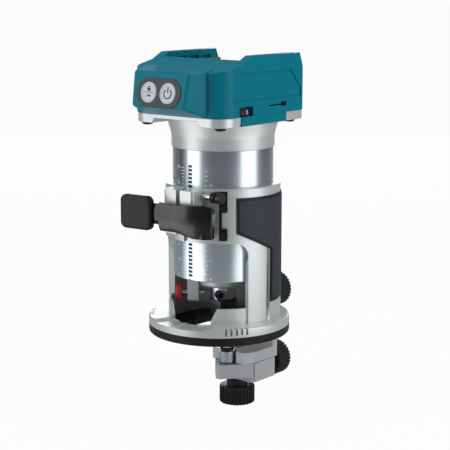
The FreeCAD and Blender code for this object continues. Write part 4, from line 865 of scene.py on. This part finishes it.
window = wedge("window", 26, 56, -WINDOW + TURN, WINDOW - TURN, 7, 63.5)
window = join(window, wedge("window", 26.1, 56.1, -WINDOW, WINDOW, 7.5, 54.5))
collar = carve(collar, window)
for side_sign in (1, -1):
    upright = place(rod("corner", 9.0, 26.05, 56, 72), (90, 0, 0))
    collar = carve(collar, place(upright, (0, 0, side_sign * (WINDOW - TURN)), (0, 0, 54.5)))
collar = carve(collar, wedge("rear_window", 30, 40, 154, 206, 29, 54))
print("collar:", len(collar.data.polygons), "faces")

# %% Ears, split and bores
ear = push("ears", [(-12, -33), (-12, -43.2), (-10.7, -44.5), (10.7, -44.5), (12, -43.2), (12, -33)],
           69.0, 97.5)
ear = soften(ear, 0.5)
boss = soften(block("rear_boss", -10, 10, 35, 42.4, 8.0, 24.0), 0.7)
collar = join(collar, ear, boss)
collar = carve(collar, rod("inside", 32.62, 60, 99, 240))
collar = carve(collar, block("split", -1.6, 1.6, -50, -28, 60, 100))
ends = [place(rod("bore", r, 0, 60, 40), (0, 90, 0), (-30, y, z))
        for r, y, z in ((2.55, LEVER_PIVOT[1], 80.0), (2.05, PINION_Y, PINION_Z))]
ends.append(place(rod("bore", 1.65, 0, 20, 32), (0, 90, 0), (30, 0, 19.8)))
collar = carve(collar, *ends)
collar = soften(collar, 0.45, 2, 40)
print("with ears:", len(collar.data.polygons), "faces")

# %% Round plate with its steps and ribs
plate = lathe("round_plate", [(32.3, 5.55), (46.1, 5.55), (46.15, 10.0), (45.7, 10.8), (44.9, 11.0),
                              (32.9, 11.0), (32.3, 10.5)],
              steps=240, centre=(0, BASE_Y))
plate = carve(plate, rod("hole", 32.25, 0, 20, 240),
              wedge("low_front", 36.2, 60, -26, 26, 9.8, 12))
for side_sign in (1, -1):
    groove = wedge("groove", 42.8, 48.0, -0.85, 0.85, 7.0, 12.0, 4)
    groove = place(groove, (0, 0, 45 * side_sign))
    plate = carve(plate, repeat(groove, 5, cast_silver, turn=(0, 0, 4.3 * side_sign),
                                place_at=(0, BASE_Y, 0)))
plate = soften(plate, 0.3, 2, 35)
guards = []
for side_sign in (1, -1):
    slices = []
    for i in range(41):
        azimuth = 26.5 + 39.5 * i / 40
        top = min(21.0, 12.5 + 8.5 * (azimuth - 26.5) / 6.5)
        inner, outer = polar(33.85, side_sign * azimuth), polar(35.75, side_sign * azimuth)
        slices.append([inner + (7.0,), outer + (7.0,), outer + (top,), inner + (top,)])
    guards.append(soften(solid("guard", slices), 0.45, 2, 40))
mark = soften(block("mark", -0.5, 0.5, -49, -37, 9.4, 10.5), 0.12)
skin = merge(*[dress(piece, cast_silver) for piece in [collar, plate, *guards, mark]])
hand_over(skin, "base", ["base_foot", "base_columns", "base_collar"])

# %% Black sub-base and its screws
ring = lathe("sub_base_ring", [(17.0, 0.35), (17.3, 0.0), (45.4, 0.0), (46.0, 0.6), (46.15, 1.4),
                               (46.15, 5.2), (45.9, 5.5), (17.0, 5.5)],
             steps=240, centre=(0, BASE_Y))
ring = carve(ring, rod("hole", 17.05, -2, 8, 120))
reach = 38.5 / math.sqrt(2)
sinks = [lathe("screw_sink", [(0, -1), (4.2, -1), (4.2, 3.0), (2.05, 3.0), (2.05, 6), (0, 6)], steps=40,
               centre=(sx * reach, sy * reach + BASE_Y))
         for sx in (-1, 1) for sy in (-1, 1)]
ring = carve(ring, *sinks)
hand_over(dress(soften(ring, 0.2, 1, 45), black_plastic), "base", ["sub_base"])

# %% [markdown]
# ## Rubber grips
# Each grip is a curved pad glued round the collar, with a tail down the column. The front edge is
# slanted, and a plain border runs round the dotted field.


# %% Grips
GRIP_LOW = [(52.6, 69.9), (72.0, 64.0), (92.9, 57.5), (93.1, 22.8), (137.5, 23.0)]
FIELD_LOW = [(55.2, 71.4), (72.8, 66.0), (95.4, 58.8), (95.6, 24.8), (135.0, 25.0)]


def edge_height(edge, azimuth):
    """Height of a bent lower edge at one azimuth."""
    for (a0, z0), (a1, z1) in zip(edge, edge[1:]):
        if azimuth <= a1:
            return z0 + (z1 - z0) * (azimuth - a0) / (a1 - a0)
    return edge[-1][1]


def grip_layer(name, side_sign, edge, top, r_in, r_out):
    """A curved slab round the collar above a bent lower edge, cut into narrow upright strips."""
    azimuths = sorted({a for a, z in edge} | {a for a in range(54, 138, 2) if edge[0][0] < a < edge[-1][0]})
    rows = []
    for a in azimuths:
        low = edge_height(edge, a)
        inner, outer = polar(r_in, side_sign * a), polar(r_out, side_sign * a)
        rows.append([inner + (low,), outer + (low,), outer + (top,), inner + (top,)])
    return soften(solid(name, rows), 0.12, 2, 50)


for side_sign, name in ((1, "right"), (-1, "left")):
    border = dress(grip_layer("grip_pad_" + name, side_sign, GRIP_LOW, 92.5, 37.35, 38.02), black_plastic)
    field = dress(grip_layer("grip_field", side_sign, FIELD_LOW, 90.5, 37.6, 38.27), grip_rubber)
    hand_over(merge(border, field), "base", ["grip_" + name])

# %% [markdown]
# ## Locking lever
# The lever is one glossy moulding: an arc that follows the collar, a neck, and a flat pad for the
# fingers. Two eyes wrap the barrel. The pad is a plain cushion with round corners.

# %% Lever: sections along a path
def lever_section(middle, outward, low, high, half=1.12):
    """One slice of the lever: flat inside, swelling outside, with round edges."""
    centre, tall = (low + high) / 2, (high - low) / 2
    face = [(half - 0.8 * k * k, centre + k * (tall - 0.8)) for k in (i / 5 for i in range(-5, 6))]
    rim = [(half - 1.0, tall - 0.35), (half - 1.35, tall), (0.4 - half, tall), (-half, tall - 0.5)]
    over = [(n, centre + z) for n, z in rim]
    under = [(n, centre - z) for n, z in reversed(rim)]
    return [(middle[0] + outward[0] * n, middle[1] + outward[1] * n, z) for n, z in face + over + under]


def blend(value, start, end):
    """A smooth rise from 0 to 1 between two values."""
    k = min(1.0, max(0.0, (value - start) / (end - start)))
    return k * k * (3 - 2 * k)


FLARE = math.radians(6.0)
ROOT = polar(49.2, -4)
slices = []
for i in range(49):
    azimuth = 31.5 - 35.5 * i / 48
    low = 71.2 - 2.9 * blend(azimuth, 2, 20)
    high = 89.0 + 0.7 * blend(azimuth, 4, 12) - 0.9 * blend(azimuth, 24, 32)
    thin = 1.12 - 0.5 * blend(azimuth, 30.5, 31.5)
    slices.append(lever_section(polar(49.2, azimuth), polar(1, azimuth), low, high, thin))
for far in (1, 2, 3, 4, 5, 6, 7, 7.6, 8.0, 8.4, 10, 12.6):
    middle = (ROOT[0] - far * math.cos(FLARE), ROOT[1] - far * math.sin(FLARE))
    waist = blend(far, 7.0, 8.4)
    slices.append(lever_section(middle, (math.sin(FLARE), -math.cos(FLARE)), 71.2 + 3.9 * waist,
                                89.0 + 0.4 * blend(far, 0, 6) - 1.0 * waist))
arm = solid("locking_lever_skin", slices)
print("lever arm:", len(arm.data.polygons), "faces")


# %% Lever: finger pad and eyes
def cushion(name, half_w, half_h, radius, layers):
    """A slab with round corners: each layer has its depth and how far it is drawn in."""
    rings = []
    for depth, inset in layers:
        outline = rounded(half_w - inset, half_h - inset, half_h - inset, radius - inset, radius - inset, 8)
        rings.append([(x, depth, z) for x, z in outline])
    return solid(name, rings)


finger_pad = cushion("pad", 12.05, 10.85, 4.0, [(2.4, 1.3), (2.15, 0.45), (1.7, 0.0), (-1.2, 0.0),
                                                (-1.75, 0.3), (-2.1, 0.9), (-2.3, 1.8), (-2.42, 3.2)])
pad_x = ROOT[0] - 23.65 * math.cos(FLARE) - 1.3 * math.sin(FLARE)
pad_y = ROOT[1] - 23.65 * math.sin(FLARE) + (1.15 - 2.45) * math.cos(FLARE)
finger_pad = place(finger_pad, (0, 0, 6.0), (pad_x, pad_y, 81.75))
eyes = []
for low, high in ((68.4, 75.9), (84.1, 86.9)):
    eyes.append(rod("eye", 5.55, low, high, 64, centre=LEVER_PIVOT))
    eyes.append(rod("cam", 5.5, low + 0.05, high - 0.05, 64, centre=(18.15, -40.2)))
    eyes.append(push("web", [(13.7, -40.2), (22.0, -40.2), (24.3, -43.0), (20.4, -44.8), (13.9, -47.5)],
                     low + 0.1, high - 0.1))
hinge = soften(join(*eyes), 0.4, 2, 40)
arm = join(arm, hinge)
arm = carve(arm, rod("barrel_bore", 3.66, 60, 95, 64, centre=LEVER_PIVOT))
arm = merge(dress(arm, lever_plastic), dress(finger_pad, black_plastic))
hand_over(arm, "lever", ["locking_lever"])

# %% [markdown]
# ## Depth knob
# A small knurled knob turns the pinion. The knurl is a ring of narrow ribs, repeated round the shaft.

# %% Small knurled knob
KNOB_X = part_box("depth_knob")[0].x * 1000
core = lathe("depth_knob_skin", [(0, 0.05), (2.6, 0.05), (3.0, 0.4), (3.0, 4.4), (2.6, 4.75), (1.6, 4.75),
                                 (1.4, 4.3), (0, 4.3)], steps=48)
rib = push("rib", [(2.8, -0.24), (3.38, -0.12), (3.38, 0.12), (2.8, 0.24)], 0.5, 4.3)
knurl = repeat(rib, 20, knob_plastic, turn=(0, 0, 18))
small = merge(dress(soften(core, 0.1, 1, 45), knob_plastic), knurl)
small = place(place(small, (0, 90, 0)), move=(KNOB_X, PINION_Y, PINION_Z))
hand_over(small, "depth_shaft", ["depth_knob"])

# %% [markdown]
# ## Hand knobs
# Three identical ribbed knobs work the guide. Each is a turned core with thirty ribs round it and a
# dished end, so one knob is made and then turned into each place.


# %% Ribbed hand knob
def hand_knob(name, hub_long):
    """A knob along +Z: the hub starts at z = 0."""
    top = hub_long + 12.4
    core = lathe(name, [(0, 0.05), (6.5, 0.05), (6.95, 0.5), (6.95, hub_long), (10.4, hub_long + 0.02),
                        (11.2, hub_long + 0.8), (11.25, top - 1.0),
                        (10.6, top - 0.3), (9.9, top - 0.05), (9.2, top - 0.25), (8.6, top - 1.3),
                        (0, top - 1.5)], steps=120)
    core = soften(core, 0.15, 1, 50)
    outline = [(10.9, -0.78), (11.6, -0.62), (11.87, -0.3), (11.87, 0.3), (11.6, 0.62), (10.9, 0.78)]
    levels = [(0.945, 0.7, hub_long + 0.35), (0.985, 0.95, hub_long + 0.8), (1, 1, hub_long + 1.4)]
    levels += [(1, 1, top - 1.4), (0.985, 0.95, top - 0.7), (0.945, 0.7, top - 0.3)]
    rib = solid("rib", [[(x * s, y * w, z) for x, y in outline] for s, w, z in levels])
    ribs = repeat(rib, 30, knob_plastic, turn=(0, 0, 12))
    disc_end = lathe("end_disc", [(0, top - 1.55), (3.1, top - 1.55), (3.1, top - 1.25), (2.8, top - 1.1),
                                  (0, top - 1.1)], steps=40)
    return merge(dress(core, knob_plastic), ribs, dress(disc_end, dark_steel))


for node, body, hub, turn, spot in (("holder_clamp_knob", "holder_clamp", 2.2, (-90, 0, 0),
                                     (0, 45.95, HOLDER_CLAMP_Z)),
                                    ("guide_feed_knob", "feed", 2.2, (-90, 0, 0), (0, 45.95, FEED_Z)),
                                    ("slide_clamp_knob", "slide_clamp", 4.4, (180, 0, 0),
                                     (0, SLIDE_CLAMP_Y, -38.05))):
    hand_over(place(hand_knob(node + "_skin", hub), turn, spot), body, [node])

# %% [markdown]
# ## Roller guide
# The holder and the sliding block are aluminium castings with chamfered noses. Their edges are
# softer than those of the turned parts, because castings come out of the mould rounded.

# %% Guide holder
holder_plate = push_x("guide_holder_skin", [(42.45, -4.4), (45.85, -4.4), (45.85, 25.2), (44.0, 27.4),
                                            (42.45, 27.4)], -12.9, 12.9)
shelf = block("shelf", -15.9, 15.9, 32.6, 45.85, -4.4, -0.35)
wall = block("wall", -16.95, 16.95, 32.55, 36.95, -24.5, -0.4)
bed = push("bed", [(13, 5.1), (15.7, 10), (16.95, 13), (16.95, 36.9), (-16.95, 36.9), (-16.95, 13),
                   (-15.7, 10), (-13, 5.1)], -24.55, -17.05)
lug = block("lug", -7.95, 7.95, 36.55, 40.95, -38.9, -17.1)
bed = carve(bed, rod("horn", 7.05, -30, 0, 96, centre=ROLLER),
            block("horn", -7.05, 7.05, -20, 4.2, -30, 0))
holder = join(holder_plate, shelf, wall, bed, lug)
rods = [place(rod("bore", 3.05, 0, 30, 48), (-90, 0, 0), (0, 30, z)) for z in (HOLDER_CLAMP_Z, FEED_Z)]
holder = carve(holder, *rods, rod("bore", 3.05, -30, -10, 48, centre=(0, SLIDE_CLAMP_Y)))
holder = dress(soften(holder, 0.55, 3, 35), guide_silver)
hand_over(holder, "base", ["guide_holder"])

# %% Sliding block
outline = [(1.85, -5.5), (15.65, 11.0), (15.95, 11.0), (15.95, 13.0), (16.95, 13.0), (16.95, 34.45)]
slide = push("guide_slide_skin", outline + [(-x, y) for x, y in reversed(outline)], -34.45, -24.95)
lower = push("slide_lower", [(-15.95, 11.05), (15.95, 11.05), (15.95, 13.0), (16.95, 13.0), (16.95, 34.4),
                             (-16.95, 34.4), (-16.95, 13.0), (-15.95, 13.0)], -37.95, -30)
slide = join(slide, lower)
slot = push("slot", arc(3.06, 90, 270, 24, (0, 23.0)) + arc(3.06, -90, 90, 24, (0, 14.0)), -50, -10)
slide = carve(slide, slot, place(rod("bore", 3.05, 0, 30, 48), (-90, 0, 0), (0, 20, FEED_Z)))
slide = dress(soften(slide, 0.6, 3, 30), guide_silver)
hand_over(slide, "guide_block", ["guide_slide"])

# %% Roller and its screw
roller = lathe("guide_roller_skin", [(2.3, -24.35), (4.9, -24.35), (5.2, -24.1), (5.27, -23.6),
                                     (5.27, -17.4), (5.2, -16.9), (4.9, -16.65), (2.3, -16.65)],
               steps=96, centre=ROLLER)
hand_over(dress(roller, zinc_blue), "roller", ["guide_roller"])
head = lathe("roller_screw_skin", [(0, -16.4), (4.3, -16.4), (4.55, -16.1), (4.55, -14.7), (4.0, -14.1),
                                   (0, -14.05)], steps=64, centre=ROLLER)
head = carve(head, block("slot", -3.1, 3.1, 3.75, 4.65, -15.0, -13))
neck = lathe("neck", [(0, -24.9), (3.35, -24.9), (3.35, -24.55), (2.15, -24.5), (2.15, -16.2), (0, -16.2)],
             steps=48, centre=ROLLER)
hand_over(dress(soften(join(head, neck), 0.15, 1, 45), dark_steel), "guide_block",
          ["roller_screw"])

# %% [markdown]
# ## Pieces that keep their shape
# The bracket, the boards, the bearings and the small steel parts are already right in the frame,
# so they keep their shape and only get a finish.

# %% Finishes for the nodes that keep their shape
KEPT = (
    (bright_steel, "sub_base_screws clamp_nut lever_barrel depth_pinion stator_core lower_bearing_outer"),
    (bright_steel, "lower_bearing_inner lower_bearing_balls upper_bearing_outer upper_bearing_inner"),
    (bright_steel, "upper_bearing_balls collet_cone rotor_core"),
    (bright_steel, "holder_clamp_stud guide_feed_screw slide_clamp_stud"),
    (black_plastic, "chip_cover pinion_bracket speed_pot board_components cooling_fan"),
    (dark_steel, "clamp_bolt bracket_screws"),
    (board_green, "switch_board controller_board"),
    (copper, "stator_windings"),
    (cast_silver, "bearing_bridge"),
)
kept = [(name, material) for material, names in KEPT for name in names.split()]
for name, material in kept:
    dress(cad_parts[name], material)
print(len(kept), "nodes keep their shape")

# %% [markdown]
# ## Studio
# A pale floor, one soft light on each side and one above. Two dark cards show only in reflections, so
# the turned tube shows the bright and dark upright bands that polished metal has. The floor and
# the sky look white to the camera but give the tool much less light than they seem to.

# %% Floor, cards and lights
floor_z = cad_low.z - 0.0004


def card(name, width, height, where, turn, colour, seen=True):
    """A flat upright or level card with its own dull finish, seen directly or only in reflections."""
    mesh = bpy.data.meshes.new(name)
    w, h = width / 2, height / 2
    mesh.from_pydata([(-w, -h, 0), (w, -h, 0), (w, h, 0), (-w, h, 0)], [], [(0, 1, 2, 3)])
    obj = bpy.data.objects.new(name, mesh)
    bpy.context.scene.collection.objects.link(obj)
    place(obj, (turn[0], 0, turn[1]), where)
    finish = Finish(name + "_finish", colour, 0.9)
    finish.feed("Roughness", 0.85 + finish.noise(0.02, 2.0) * 0.1)
    obj.data.materials.append(finish.material)
    obj.visible_camera = seen
    obj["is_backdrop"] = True
    return finish


floor = card("floor", 40, 40, (0, 0, floor_z), (0, 0), tint(176, 178, 180))
glow = floor.node("ShaderNodeEmission", Color=(1, 1, 1, 1), Strength=1.0)
seen = floor.node("ShaderNodeLightPath", out="Is Camera Ray") * 0.96
blend_in = floor.tree.nodes.new("ShaderNodeMixShader")
floor.tree.links.new(seen.out, blend_in.inputs[0])
floor.tree.links.new(floor.shader.outputs[0], blend_in.inputs[1])
floor.tree.links.new(glow.out, blend_in.inputs[2])
floor.tree.links.new(blend_in.outputs[0], floor.tree.nodes["Material Output"].inputs["Surface"])
card("left_card", 0.12, 1.2, (-0.62, -0.25, 0.25), (90, -68), tint(8, 8, 8), False)
card("right_card", 0.14, 1.2, (0.80, 0.05, 0.25), (90, 84), tint(8, 8, 8), False)


def soft_light(name, size, power, where, target=(0, 0, 0.07)):
    light = bpy.data.lights.new(name, "AREA")
    light.shape, light.size, light.size_y, light.energy = "RECTANGLE", size[0], size[1], power
    obj = bpy.data.objects.new(name, light)
    bpy.context.scene.collection.objects.link(obj)
    obj.location = where
    obj.rotation_euler = (Vector(target) - Vector(where)).to_track_quat("-Z", "Y").to_euler()


soft_light("key_light", (0.40, 0.95), 2.6, (-0.30, -0.52, 0.42), (0, 0, 0.30))
soft_light("key_low", (0.40, 0.28), 0.75, (-0.215, -0.372, -0.045), (-0.215, -0.373, 1.0))
soft_light("fill_light", (0.50, 0.95), 2.8, (0.60, 0.10, 0.42), (0, 0, 0.30))
soft_light("fill_low", (0.28, 0.50), 0.8, (0.43, 0.07, -0.045), (0.43, 0.071, 1.0))
soft_light("top_light", (0.8, 0.8), 5.5, (0.1, 0.1, 1.2))
soft_light("back_light", (1.6, 0.18), 8, (-0.95, 1.16, 0.29), (0, 0, 0.05))
world = bpy.data.worlds.new("studio")
world.use_nodes = True
sky = world.node_tree.nodes["Background"]
sky.inputs["Color"].default_value = (1, 1, 1, 1)
direct = world.node_tree.nodes.new("ShaderNodeLightPath")
level = Value(world.node_tree, direct.outputs["Is Camera Ray"]) * 0.82 + 0.18
world.node_tree.links.new(level.out, sky.inputs["Strength"])
bpy.context.scene.world = world
bpy.context.scene.view_settings.view_transform = "Standard"

# %% Camera
TURN_TO, AWAY, HIGH, DOWN = math.radians(39.5), 0.875, 0.2346, math.radians(10.73)
lens_data = bpy.data.cameras.new("camera")
lens_data.lens, lens_data.sensor_width, lens_data.shift_x = 109.04, 36.0, 0.0044
camera = bpy.data.objects.new("camera", lens_data)
bpy.context.scene.collection.objects.link(camera)
camera.location = (AWAY * math.sin(TURN_TO), -AWAY * math.cos(TURN_TO), HIGH)
camera.rotation_euler = (math.pi / 2 - DOWN, 0, TURN_TO)
bpy.context.scene.camera = camera
print("camera at", [round(v, 3) for v in camera.location])

# %% [markdown]
# ## Finish
# The last step measures the whole and prints its box beside the box of the frame.

# %% Measure and finish
low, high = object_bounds()
print("visual box:", [round(v * 1000, 2) for v in low], [round(v * 1000, 2) for v in high])
print("cad box:", [round(v * 1000, 2) for v in cad_low], [round(v * 1000, 2) for v in cad_high])
